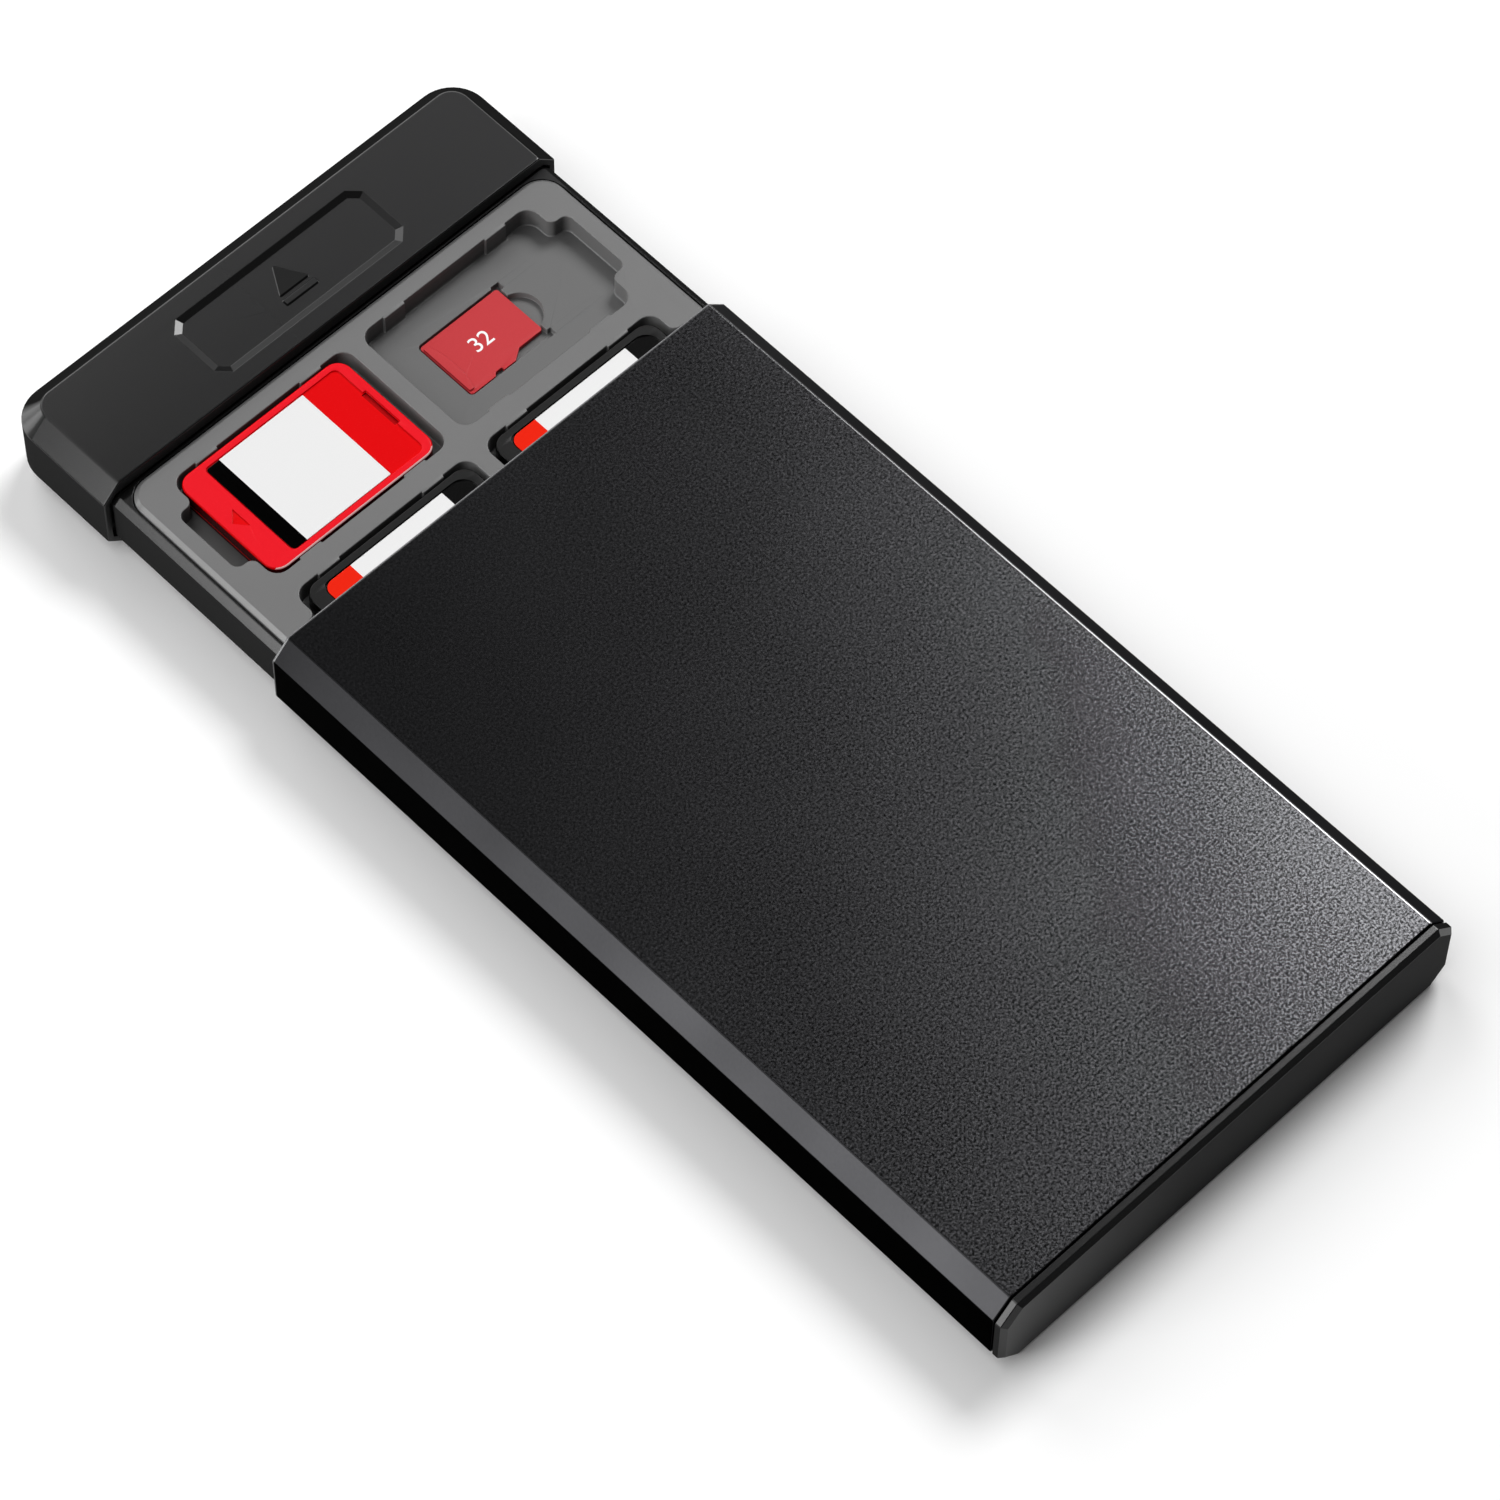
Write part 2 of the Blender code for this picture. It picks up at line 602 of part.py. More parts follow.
def make_game_card(number, centre, style):
    """A card in the upper liner, its label up and the end that goes in first towards +X."""
    name = "game_card_%d_" % number
    x, y = centre
    left, right = x - GAME_CARD_LENGTH / 2, x + GAME_CARD_LENGTH / 2
    front, rear = y - GAME_CARD_WIDTH / 2, y + GAME_CARD_WIDTH / 2
    base_z = mid_z + half_height - LINER_DEPTH - game_pocket_depth + CARD_GAP
    top_z = base_z + GAME_CARD_THICKNESS
    seam_z = base_z + BACK_SHELL + CARD_GAP
    board_top_z = seam_z + BOARD_THICKNESS
    plan = rounded_rectangle((left, front), (right, rear), GAME_CARD_CORNER)

    # Back shell, with the window that its contacts show through
    back_shell = prism(name + "back_shell", [plan], base_z, base_z + BACK_SHELL)
    window_right = right - CONTACT_MARGIN
    window = rectangle((window_right - CONTACT_LENGTH, front + CONTACT_SIDE_MARGIN),
                       (window_right, rear - CONTACT_SIDE_MARGIN))
    cut(back_shell, prism(name + "window", [window], base_z - CUT_OVERRUN, seam_z + CUT_OVERRUN))

    # Contact board, its pads facing down
    edge = CARD_WALL + BOARD_ROOM
    board_plan = rectangle((left + edge, front + edge), (right - edge, rear - edge))
    board = prism(name + "board", [board_plan], seam_z, board_top_z)
    join(board, prism(name + "pads", contact_pads(x, y), seam_z - PAD_HEIGHT,
                      seam_z + BOARD_THICKNESS / 2))

    # Front shell, hollow below for the board and recessed above for the label
    front_shell = prism(name + "front_shell", [plan], seam_z, top_z)
    bevel(front_shell, lies_at(2, top_z), CARD_EDGE, EDGE_STEPS)
    inside = rectangle((left + CARD_WALL, front + CARD_WALL), (right - CARD_WALL, rear - CARD_WALL))
    cut(front_shell, prism(name + "inside", [inside], seam_z - CUT_OVERRUN, board_top_z + CARD_GAP))
    recess_right = right - style["arrow_margin"]
    recess_left = recess_right - style["recess_length"]
    recess_front, recess_rear = front + style["side_margin"], rear - style["side_margin"]
    recess = rounded_rectangle((recess_left, recess_front), (recess_right, recess_rear),
                               style["recess_corner"])
    recess_z = top_z - LABEL_RECESS
    cut(front_shell, prism(name + "recess", [recess], recess_z, top_z + CUT_OVERRUN))
    slot_left = recess_left - GRIP_SLOT_REACH
    slot = rectangle((slot_left, y - GRIP_SLOT_LENGTH / 2),
                     (slot_left + GRIP_SLOT_WIDTH, y + GRIP_SLOT_LENGTH / 2))
    cut(front_shell, prism(name + "grip_slot", [slot], recess_z - GRIP_SLOT_DEPTH,
                           top_z + CUT_OVERRUN))

    # Label, in the recess at the end that goes in first
    label_left = recess_right - style["label_length"]
    label_plan = rounded_rectangle((label_left + LABEL_ROOM, recess_front + LABEL_ROOM),
                                   (recess_right - LABEL_ROOM, recess_rear - LABEL_ROOM),
                                   style["recess_corner"] - LABEL_ROOM)
    label_z = recess_z + LABEL_GAP
    label = prism(name + "label", [label_plan], label_z, label_z + LABEL_THICKNESS)
    return [finish(front_shell, style["shell"]), finish(back_shell, style["shell"]),
            finish(board, board_green), finish(label, label_white)]


# Micro card: one moulded chip with a raised lip at its +X end

def make_micro_card(centre):
    x, y = centre
    left, right = x - MICRO_CARD_LENGTH / 2, x + MICRO_CARD_LENGTH / 2
    front, rear = y - MICRO_CARD_WIDTH / 2, y + MICRO_CARD_WIDTH / 2
    corner = MICRO_CARD_CORNER
    narrow = rear - NARROW_STEP
    notch_left = left + NOTCH_START
    notch_right = notch_left + NOTCH_LENGTH
    plan = (arc((left + corner, front + corner), corner, 180, 270, SMALL_CORNER_STEPS)
            + arc((right - corner, front + corner), corner, 270, 360, SMALL_CORNER_STEPS)
            + arc((right - corner, rear - corner), corner, 0, 90, SMALL_CORNER_STEPS)
            + [(notch_right, rear), (notch_right - NOTCH_DEPTH, rear - NOTCH_DEPTH),
               (notch_left, rear - NOTCH_DEPTH), (notch_left, rear)]
            + [(left + NARROW_LENGTH + SLANT_LENGTH, rear), (left + NARROW_LENGTH, narrow)]
            + arc((left + corner, narrow - corner), corner, 90, 180, SMALL_CORNER_STEPS))
    liner_face_z = mid_z + half_height - LINER_DEPTH
    base_z = liner_face_z - game_pocket_depth - micro_pocket_depth + CARD_GAP
    micro_card = prism("micro_card", [plan], base_z, base_z + MICRO_CARD_THICKNESS)
    lip = rounded_rectangle((right - LIP_WIDTH, front + corner), (right, rear - corner),
                            corner, SMALL_CORNER_STEPS)
    join(micro_card, prism("lip", [lip], base_z + MICRO_CARD_THICKNESS / 2, base_z + LIP_THICKNESS))
    return finish(micro_card, micro_red)


# The case stands still, and all that the drawer carries hangs on one empty on its slide

def shifted(centre, shift):
    return centre[0] + shift, centre[1]


make_sleeve()
make_end_cap()
carried = [make_drawer_tray(), make_drawer_pull()]
carried += [make_liner("top_card_liner", 1), make_liner("bottom_card_liner", -1)]
carried += make_game_card(1, shifted(pocket_centre(0, 1), RED_CARD_SHIFT), RED_CARD)
carried += make_game_card(2, shifted(pocket_centre(1, 1), BLACK_CARD_SHIFT), BLACK_CARD)
carried += make_game_card(3, shifted(pocket_centre(1, -1), -BLACK_CARD_SHIFT), BLACK_CARD)
carried.append(make_micro_card(micro_centre(0, -1)))

drawer = bpy.data.objects.new("drawer_slide", None)
PART.objects.link(drawer)
drawer.location = (0, pull_rear_y, mid_z)
bpy.context.view_layer.update()
for piece in carried:
    piece.parent = drawer
    piece.matrix_parent_inverse = drawer.matrix_world.inverted()
bpy.context.view_layer.update()
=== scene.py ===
"""Looks of the game card case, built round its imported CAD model.

Shapes are worked out in millimetres and become metres when their mesh is made. The sleeve
lies along Y with its mouth at -Y, and the drawer stands part way out of it.
"""

import bmesh
import bpy
import numpy as np
from mathutils import Matrix, Vector
from mathutils.geometry import tessellate_polygon


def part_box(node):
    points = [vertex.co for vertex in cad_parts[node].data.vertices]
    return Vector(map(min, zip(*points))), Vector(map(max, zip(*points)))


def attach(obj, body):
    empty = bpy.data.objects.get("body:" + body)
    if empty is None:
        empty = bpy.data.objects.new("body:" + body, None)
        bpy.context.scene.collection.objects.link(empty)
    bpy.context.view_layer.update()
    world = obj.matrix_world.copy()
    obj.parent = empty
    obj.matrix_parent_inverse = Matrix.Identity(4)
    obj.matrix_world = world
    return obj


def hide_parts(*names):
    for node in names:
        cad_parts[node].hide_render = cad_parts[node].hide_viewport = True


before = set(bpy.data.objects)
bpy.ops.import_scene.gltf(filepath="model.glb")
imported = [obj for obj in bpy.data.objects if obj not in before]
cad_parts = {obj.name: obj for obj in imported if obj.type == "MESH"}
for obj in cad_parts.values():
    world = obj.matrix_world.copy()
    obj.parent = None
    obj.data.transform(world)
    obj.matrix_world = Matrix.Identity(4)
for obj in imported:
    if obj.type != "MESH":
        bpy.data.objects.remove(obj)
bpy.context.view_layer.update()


# Camera: a long lens high over the closed end. Its place, turn and lens were solved from the
# case's straight edges, for an image of 1500 by 1500 pixels.
CAMERA_PLACE = (335.05, 311.84, 787.01)
CAMERA_AZIMUTH, CAMERA_ELEVATION, CAMERA_ROLL = np.radians([134.703, 59.123, 1.289])
FOCAL_PIXELS, IMAGE_PIXELS, SENSOR = 6597.5, 1500, 36.0

back = np.array([np.sin(CAMERA_AZIMUTH) * np.cos(CAMERA_ELEVATION),
                 -np.cos(CAMERA_AZIMUTH) * np.cos(CAMERA_ELEVATION),
                 np.sin(CAMERA_ELEVATION)])
level = np.array([np.cos(CAMERA_AZIMUTH), np.sin(CAMERA_AZIMUTH), 0.0])
right = level * np.cos(CAMERA_ROLL) + np.cross(back, level) * np.sin(CAMERA_ROLL)
camera = bpy.data.objects.new("camera", bpy.data.cameras.new("camera"))
camera.matrix_world = (Matrix.Translation(Vector(CAMERA_PLACE) / 1000)
                       @ Matrix(np.column_stack([right, np.cross(back, right), back])).to_4x4())
camera.data.sensor_width = SENSOR
camera.data.lens = FOCAL_PIXELS / IMAGE_PIXELS * SENSOR
bpy.context.scene.collection.objects.link(camera)
bpy.context.scene.camera = camera
bpy.context.scene.view_settings.view_transform = "Standard"


# Lamps: the key stands high over the case's -X side and gives the sleeve its sheen. Over the +X
# side a broad fill stands high, and a small one low, for the long chamfers. Two light the pull,
# one off its end and one low off its +X corner. A dim even world fills the shadows.
LAMP_DISTANCE, WORLD_LIGHT = 2.0, 0.08


def softbox(name, azimuth, elevation, half_angle, brightness):
    """A round lamp that faces the case from an azimuth and an elevation in degrees, as wide as
    twice its half angle. Its power is brightness * pi * its area."""
    azimuth, elevation, half_angle = np.radians([azimuth, elevation, half_angle])
    toward = Vector((np.cos(azimuth) * np.cos(elevation), np.sin(azimuth) * np.cos(elevation),
                     np.sin(elevation)))
    radius = LAMP_DISTANCE * np.tan(half_angle)
    lamp = bpy.data.lights.new(name, "AREA")
    lamp.shape = "DISK"
    lamp.size = 2 * radius
    lamp.energy = brightness * np.pi * np.pi * radius ** 2
    held = bpy.data.objects.new(name, lamp)
    held.location = toward * LAMP_DISTANCE
    held.rotation_euler = toward.to_track_quat("Z", "Y").to_euler()
    held.visible_camera = False
    bpy.context.scene.collection.objects.link(held)


softbox("key", 196.0, 49.0, 12.5, 14.0)
softbox("high_fill", -20.0, 60.0, 25.0, 2.0)
softbox("chamfer_fill", -20.0, 21.0, 10.0, 7.0)
softbox("pull_end", 258.0, 41.0, 17.0, 2.8)
softbox("corner_fill", -56.0, 11.0, 10.0, 3.0)
world = bpy.data.worlds.new("studio")
world.use_nodes = True
world.node_tree.nodes["Background"].inputs["Color"].default_value = (1.0, 1.0, 1.0, 1.0)
world.node_tree.nodes["Background"].inputs["Strength"].default_value = WORLD_LIGHT
bpy.context.scene.world = world


# Floor: a wide plain white sheet. It takes the case's soft shadow, and a little light of its
# own on the rays that see it keeps the rest of it white.
FLOOR_REACH, FLOOR_Z = 4000.0, -0.05
FLOOR_COLOUR, FLOOR_GLOW, FLOOR_ROUGHNESS = 0.93, 0.03, 0.9
MERGE_METRES, SHARP_DEGREES = 2e-6, 50.0


class Wire:
    """A shader socket. The operators + - * < and > on it add Math nodes."""

    def __init__(self, socket):
        self.socket = socket

    def node(self, kind, sockets, output=0, **settings):
        """Adds a node beside this socket: its settings first, then values or wires for sockets."""
        tree = self.socket.id_data
        made = tree.nodes.new("ShaderNode" + kind)
        for name, value in settings.items():
            setattr(made, name, value)
        for name, value in sockets.items():
            if isinstance(value, Wire):
                tree.links.new(value.socket, made.inputs[name])
            else:
                made.inputs[name].default_value = value
        return Wire(made.outputs[output])

    def maths(self, operation, first, second):
        """A Math node of two values or wires."""
        return self.node("Math", {0: first, 1: second}, operation=operation)

    def __add__(self, other):
        return self.maths("ADD", self, other)

    def __sub__(self, other):
        return self.maths("SUBTRACT", self, other)

    def __rsub__(self, other):
        return self.maths("SUBTRACT", other, self)

    def __mul__(self, other):
        return self.maths("MULTIPLY", self, other)

    def __gt__(self, other):
        return self.maths("GREATER_THAN", self, other)

    def __lt__(self, other):
        return self.maths("LESS_THAN", self, other)

    __radd__, __rmul__ = __add__, __mul__

    def clamped(self):
        """The number held between 0 and 1."""
        return self.node("Clamp", {0: self})

    def size(self):
        """The number without its sign."""
        return self.maths("ABSOLUTE", self, 0.0)

    def part(self, axis):
        """One component of a vector, by its letter."""
        return self.node("SeparateXYZ", {0: self}, output=axis)

    def mixed(self, low, high):
        """A colour: low where this wire is 0, and high where it is 1. Sockets 6 and 7 and output 2
        of the Mix node are its colours."""
        low, high = [(*c, 1.0) if isinstance(c, tuple) else c for c in (low, high)]
        return self.node("Mix", {0: self, 6: low, 7: high}, output=2, data_type="RGBA")

    def into(self, shader, name):
        """Links this wire to a shader's socket."""
        self.socket.id_data.links.new(self.socket, shader.inputs[name])


def grey(level, blue=0.0):
    """An even colour, with its blue raised by a little where the finish is cool."""
    return level, level, level + blue


def new_finish(name, colour, roughness, **constants):
    """A Principled material, its shader, and its Object coordinates in millimetres. Constants
    are the shader's other sockets, with underscores in their names for the spaces."""
    look = bpy.data.materials.new(name)
    look.use_nodes = True
    shader = look.node_tree.nodes["Principled BSDF"]
    constants = {"Base Color": (*colour, 1.0), "Roughness": roughness, **constants}
    for socket, value in constants.items():
        shader.inputs[socket.replace("_", " ")].default_value = value
    coordinates = Wire(look.node_tree.nodes.new("ShaderNodeTexCoord").outputs["Object"])
    place = coordinates.node("VectorMath", {0: coordinates, "Scale": 1000.0}, operation="SCALE")
    return look, shader, place


class Skin:
    """Points and faces gathered from grids and flat outlines, then made one closed mesh."""

    def __init__(self):
        self.points = np.empty((0, 3))
        self.faces = []

    def rows(self, grid, closed=True, looped=False, leave=()):
        """Quads between the points of a grid (row, column, xyz). Closed joins the last column to
        the first, looped the last row to the first; leave names cells that stay open."""
        height, width = grid.shape[:2]
        numbers = len(self.points) + np.arange(height * width).reshape(height, width)
        self.points = np.vstack([self.points, grid.reshape(-1, 3)])
        wide = np.hstack([numbers, numbers[:, :1]]) if closed else numbers
        tall = np.vstack([wide, wide[:1]]) if looped else wide
        quads = np.stack([tall[:-1, :-1], tall[:-1, 1:], tall[1:, 1:], tall[1:, :-1]], axis=-1)
        kept = np.ones(quads.shape[:2], bool)
        for row, column in leave:
            kept[row, column] = False
        self.faces += quads[kept].tolist()
        return numbers

    def fill(self, *loops):
        """A flat face inside the first numbered loop and outside the others, in triangles."""
        numbers = np.concatenate(loops)
        flat = tessellate_polygon([[Vector(self.points[n]) for n in loop] for loop in loops])
        self.faces += numbers[np.array(flat)].tolist()

    def piece(self, name, look, body=None, node=None):
        """The finished mesh as an object that rides on a body and stands for a CAD node. Without
        a body it belongs to the stage. Points within MERGE_METRES become one, and edges past
        SHARP_DEGREES are shaded sharp."""
        mesh = bpy.data.meshes.new(name)
        mesh.from_pydata(self.points / 1000, [], self.faces)
        shape = bmesh.new()
        shape.from_mesh(mesh)
        bmesh.ops.remove_doubles(shape, verts=shape.verts, dist=MERGE_METRES)
        bmesh.ops.recalc_face_normals(shape, faces=shape.faces)
        shape.to_mesh(mesh)
        shape.free()
        mesh.shade_smooth()
        mesh.set_sharp_from_angle(angle=np.radians(SHARP_DEGREES))
        mesh.materials.append(look)
        made = bpy.data.objects.new(name, mesh)
        bpy.context.scene.collection.objects.link(made)
        if body is None:
            return
        even = made.modifiers.new("even_shading", "WEIGHTED_NORMAL")
        even.keep_sharp = True
        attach(made, body)
        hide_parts(node)


sheet, shader, place = new_finish("white_floor", grey(FLOOR_COLOUR), FLOOR_ROUGHNESS,
                                  Specular_IOR_Level=0.0, Emission_Strength=1.0)
straight, mirrored, through = [place.node("LightPath", {}, output=f"Is {kind} Ray")
                               for kind in ("Camera", "Glossy", "Transmission")]
seen = straight + mirrored + through > 0.5
seen.mixed(grey(0.0), grey(FLOOR_GLOW)).into(shader, "Emission Color")
across, along = np.meshgrid(np.linspace(-FLOOR_REACH, FLOOR_REACH, 3),
                            np.linspace(-FLOOR_REACH, FLOOR_REACH, 3))
ground = Skin()
ground.rows(np.dstack([across, along, np.full_like(across, FLOOR_Z)]), closed=False)
ground.piece("floor", sheet)


# Sleeve: one aluminium extrusion with a 1 mm wall, two wide faces and four long chamfers. It is
# sawn to length, its rims are eased, and the skin is fine-blasted and anodised dark grey.
CASE_HALF_WIDTH, CASE_HALF_HEIGHT, CASE_CHAMFER = 43.3, 7.5, 3.0
SLEEVE_WALL, SLEEVE_EDGE, SLEEVE_RIM, HIGHLIGHT_AND_WEAR_WIDTH = 1.0, 0.45, 0.22, 0.22
SKIN_DARK, SKIN_LIGHT, BARE_METAL_AND_HIGHLIGHT = grey(0.0104, 0.0006), grey(0.11, 0.006), grey(0.55, 0.01)


def unit(vectors):
    """Vectors divided by their lengths."""
    return vectors / np.linalg.norm(vectors, axis=-1, keepdims=True)


def outline(corners, radii, growth=0.0, steps=6, closed=True):
    """A polygon's corners turned into arcs, each touching its two sides at
    radius * tan(half the turn) from the corner. Growth first moves each side out, to the right
    of its run, by that much, and changes each radius with it. An open outline keeps its ends."""
    corners = np.asarray(corners, float)
    ahead = unit(np.roll(corners, -1, 0) - corners)
    behind = np.roll(ahead, 1, 0)
    turn = np.arctan2(behind[:, 0] * ahead[:, 1] - behind[:, 1] * ahead[:, 0],
                      (behind * ahead).sum(1))
    sides = np.stack([behind, ahead])[..., ::-1] * (1, -1)
    mitre = sides.sum(0) / (1 + (sides[0] * sides[1]).sum(1, keepdims=True))
    corners = corners + growth * mitre
    radii = np.maximum(radii + growth * np.sign(turn), 0.02)
    start = corners - behind * (radii * np.tan(np.abs(turn) / 2))[:, None]
    spoke = sides[0] * (radii * np.sign(turn))[:, None]
    angle = turn[:, None] * np.linspace(0, 1, steps + 1)
    bend = np.stack([spoke[:, None, 0] * np.cos(angle) - spoke[:, None, 1] * np.sin(angle),
                     spoke[:, None, 0] * np.sin(angle) + spoke[:, None, 1] * np.cos(angle)], -1)
    arcs = (start - spoke)[:, None] + bend
    if closed:
        return arcs.reshape(-1, 2)
    return np.vstack([corners[:1], arcs[1:-1].reshape(-1, 2), corners[-1:]])


def span(node):
    """A CAD node's lowest and highest corners, in millimetres."""
    return [np.array(corner) * 1000 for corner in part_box(node)]


def eight_sided(half_width, half_height, cut, centre_y=0.0):
    """A rectangle round (0, centre_y) with each corner cut off by the same length on both sides."""
    w, h = half_width, half_height
    corners = [(w - cut, -h), (w, cut - h), (w, h - cut), (w - cut, h),
               (cut - w, h), (-w, h - cut), (-w, cut - h), (cut - w, -h)]
    return [(x, y + centre_y) for x, y in corners]


def case_rings(profile):
    """The case's octagonal section carried along a profile of (growth, y): at each y it is grown
    or shrunk evenly."""
    section = eight_sided(CASE_HALF_WIDTH, CASE_HALF_HEIGHT, CASE_CHAMFER)
    return np.stack([np.column_stack([ring[:, 0], np.full(len(ring), y), ring[:, 1] + CASE_HALF_HEIGHT])
                     for growth, y in profile
                     for ring in [outline(section, SLEEVE_EDGE, growth)]])


def near(wire, level, reach):
    """1 at a level, falling evenly to 0 at a reach on both sides of it."""
    return (1 - (wire - level).size() * (1 / reach)).clamped()


def emboss(shader, relief, strength, microns):
    """A fine bump from a relief wire, as deep as the given distance times the strength."""
    bump = relief.node("Bump", {"Strength": strength, "Distance": microns / 1e6, "Height": relief})
    bump.into(shader, "Normal")


(_, mouth_y, _), (_, sleeve_end_y, _) = span("sleeve")
anodised, shader, place = new_finish("anodised_aluminium", grey(0.024, 0.001), 0.27,
                                     Metallic=1.0, Specular_Tint=(0.42, 0.42, 0.42, 1.0))
x, y, height = [place.part(axis) for axis in "XYZ"]

# A painted sheen makes the skin paler towards the closed end and the -X edge, and contrast makes its
# grain plainer there. The long chamfers have no grain, and the upright sides are painted black as
# shade.
blasted = place.node("TexNoise", {"Vector": place, "Scale": 2.6, "Detail": 1.0, "Roughness": 0.8})
cloud = place.node("TexNoise", {"Vector": place, "Scale": 0.05, "Detail": 1.0})
contrast = 2.15 + y * 0.019 - x * 0.014 + x * y * 0.0002
grain = ((blasted - 0.5) * contrast.maths("MAXIMUM", contrast, 0.7) + 0.5).clamped()
on_chamfer = x.size() > CASE_HALF_WIDTH - CASE_CHAMFER - SLEEVE_EDGE / 3
tone = grain * (1 - on_chamfer) + on_chamfer * 0.12 + cloud * 0.2 - 0.1
painted_sheen = 0.82 + y * 0.0023 - x * 0.0019 + x * y * 0.00006
off_painted_dark_side = x.size() < CASE_HALF_WIDTH - 0.05
skin_tone = (painted_sheen * off_painted_dark_side).mixed(grey(0.0), tone.mixed(SKIN_DARK, SKIN_LIGHT))

# A highlight of bare metal is painted along the -X edge of both wide faces, brighter towards the
# closed end, and the sawn rim of the mouth is scuffed to bare metal, a scuff that also stands as its
# painted highlight.
on_face = (height - CASE_HALF_HEIGHT).size() > CASE_HALF_HEIGHT - SLEEVE_EDGE / 2
painted_edge_highlight = near(x, CASE_CHAMFER - CASE_HALF_WIDTH, HIGHLIGHT_AND_WEAR_WIDTH) * on_face
scuffed = near(y, float(mouth_y), 2 * HIGHLIGHT_AND_WEAR_WIDTH)
highlight_falloff = (0.75 + y * 0.004).clamped()
# worn holds both: the painted edge highlight and the scuffed rim.
worn = painted_edge_highlight.maths("MAXIMUM", painted_edge_highlight * highlight_falloff, scuffed * 0.5)
worn.mixed(skin_tone, BARE_METAL_AND_HIGHLIGHT).into(shader, "Base Color")
(1 - scuffed * 0.8).into(shader, "Metallic")
(0.16 + blasted * 0.07).into(shader, "Roughness")
emboss(shader, grain * (1 - on_chamfer), 0.06, 20)

wall = outline([(0, mouth_y), (0, sleeve_end_y), (-SLEEVE_WALL, sleeve_end_y),
                (-SLEEVE_WALL, mouth_y)], SLEEVE_RIM, steps=4)
skin = Skin()
skin.rows(case_rings(wall), looped=True)
skin.piece("sleeve_skin", anodised, "case", "sleeve")


# End cap: a black moulded plate with the sleeve's outline and a hollow plug behind it, pressed
# into the sleeve's bore. A fine seam shows between the two. The drawer's tray and pull are of
# the same plastic, so its finish is told the place of the pull's thumb recess and sign.
CAP_EDGE, CAP_PLUG_INSET, CAP_WALL, CAP_PLATE, CAP_SEAM = 0.75, 1.3, 1.2, 1.7, 0.3
CAP_ROUND, CAP_SEAT_ROUND, CAP_SEAM_EDGE = 0.2, 0.1, 0.08
THUMB_HALF_LENGTH, THUMB_HALF_WIDTH, THUMB_Y, THUMB_DEPTH = 18.1, 6.15, -114.05, 0.3
SIGN_HEIGHT, SIGN_HALF_WIDTH, SIGN_REAR_Y, SIGN_TIP_Y = 0.24, 2.9, -113.0, -117.5
PLASTIC_DARK, PLASTIC_LIGHT, PLASTIC_HIGHLIGHT = grey(0.005), grey(0.009, 0.0003), grey(0.10)
PULL_SHADED, PULL_LIT = grey(0.002), grey(0.024, 0.0005)
MATT_SLOPE, MATT_SIDE_PAINTED_LIGHT, MATT_SIGN, MATT_PAINTED_SHADE = grey(0.011), grey(0.024), grey(0.019), grey(0.006)
DRAWER_FRONT_Y, HIGHLIGHT_FROM_Y, CORNERS_FROM_Y = -100.0, -105.5, -110.0


def past(wire, level, reach):
    """0 up to a level, then rising evenly to 1 over a reach."""
    return ((wire - level) * (1 / reach)).clamped()


black_plastic, shader, place = new_finish("black_moulded_plastic", grey(0.008), 0.2,
                                          Specular_IOR_Level=0.38)
texture = place.node("TexNoise", {"Vector": place, "Scale": 5.0, "Detail": 3.0})
flow = place.node("TexNoise", {"Vector": place, "Scale": 0.04, "Detail": 1.0})
x, y, height = [place.part(axis) for axis in "XYZ"]
facing = place.node("NewGeometry", {}, output="Normal")
across, along, upward = [facing.part(axis) for axis in "XYZ"]
rise = (height - CASE_HALF_HEIGHT).size()

# Some faces are matt, found by the way they look: the upright ones but for the cap's end, the
# slopes that look to -Y or -X, the sign's top, and the recess walls that look to +Y or +X. The
# recess wall that looks to -Y is nearly half matt.
upright = upward.size() < 0.3
away = past(0 - along, 0.5, 0.12) + past(0 - across, 0.5, 0.12)
away = away + past(0 - (along + across) * 0.7, 0.55, 0.12)
recess_rise = CASE_HALF_HEIGHT - THUMB_DEPTH
sign_top = recess_rise + SIGN_HEIGHT
on_sign = (rise > sign_top - 0.09) * (rise < sign_top + 0.03) * (x.size() < SIGN_HALF_WIDTH + 0.1)
on_sign = on_sign * (y < SIGN_REAR_Y + 0.1) * (y > SIGN_TIP_Y - 0.5)
by_recess = (x.size() < THUMB_HALF_LENGTH + 0.2) * ((y - THUMB_Y).size() < THUMB_HALF_WIDTH + 0.25)
in_recess = by_recess * (upward.size() > 0.5)
shaded = in_recess * past(along + across * 0.35, 0.02, 0.2) * (across > -0.1)
far_wall = in_recess * (along < -0.15) * (across.size() < 0.1)
matt = (upright * (along < 0.5) + away + on_sign + shaded + far_wall * 0.45).clamped()

# A highlight is painted on the edges of the pull's wide faces but for the one on the +X side, on its
# rounded corner on that side, and faintly on the end wall of the recess that looks to -X.
painted_highlight = (rise > recess_rise) * (upward.size() > 0.86) * (upward.size() < 0.985) * (across < 0.1)
painted_highlight = painted_highlight * (y < HIGHLIGHT_FROM_Y) * (1 - by_recess)
painted_highlight = painted_highlight + in_recess * (across < -0.1) * (along.size() < 0.1) * 0.25
corner = (0 - across * along * 4.0).clamped() * (upward.size() > 0.3) * (y < CORNERS_FROM_Y)
painted_highlight = (painted_highlight + corner).clamped()

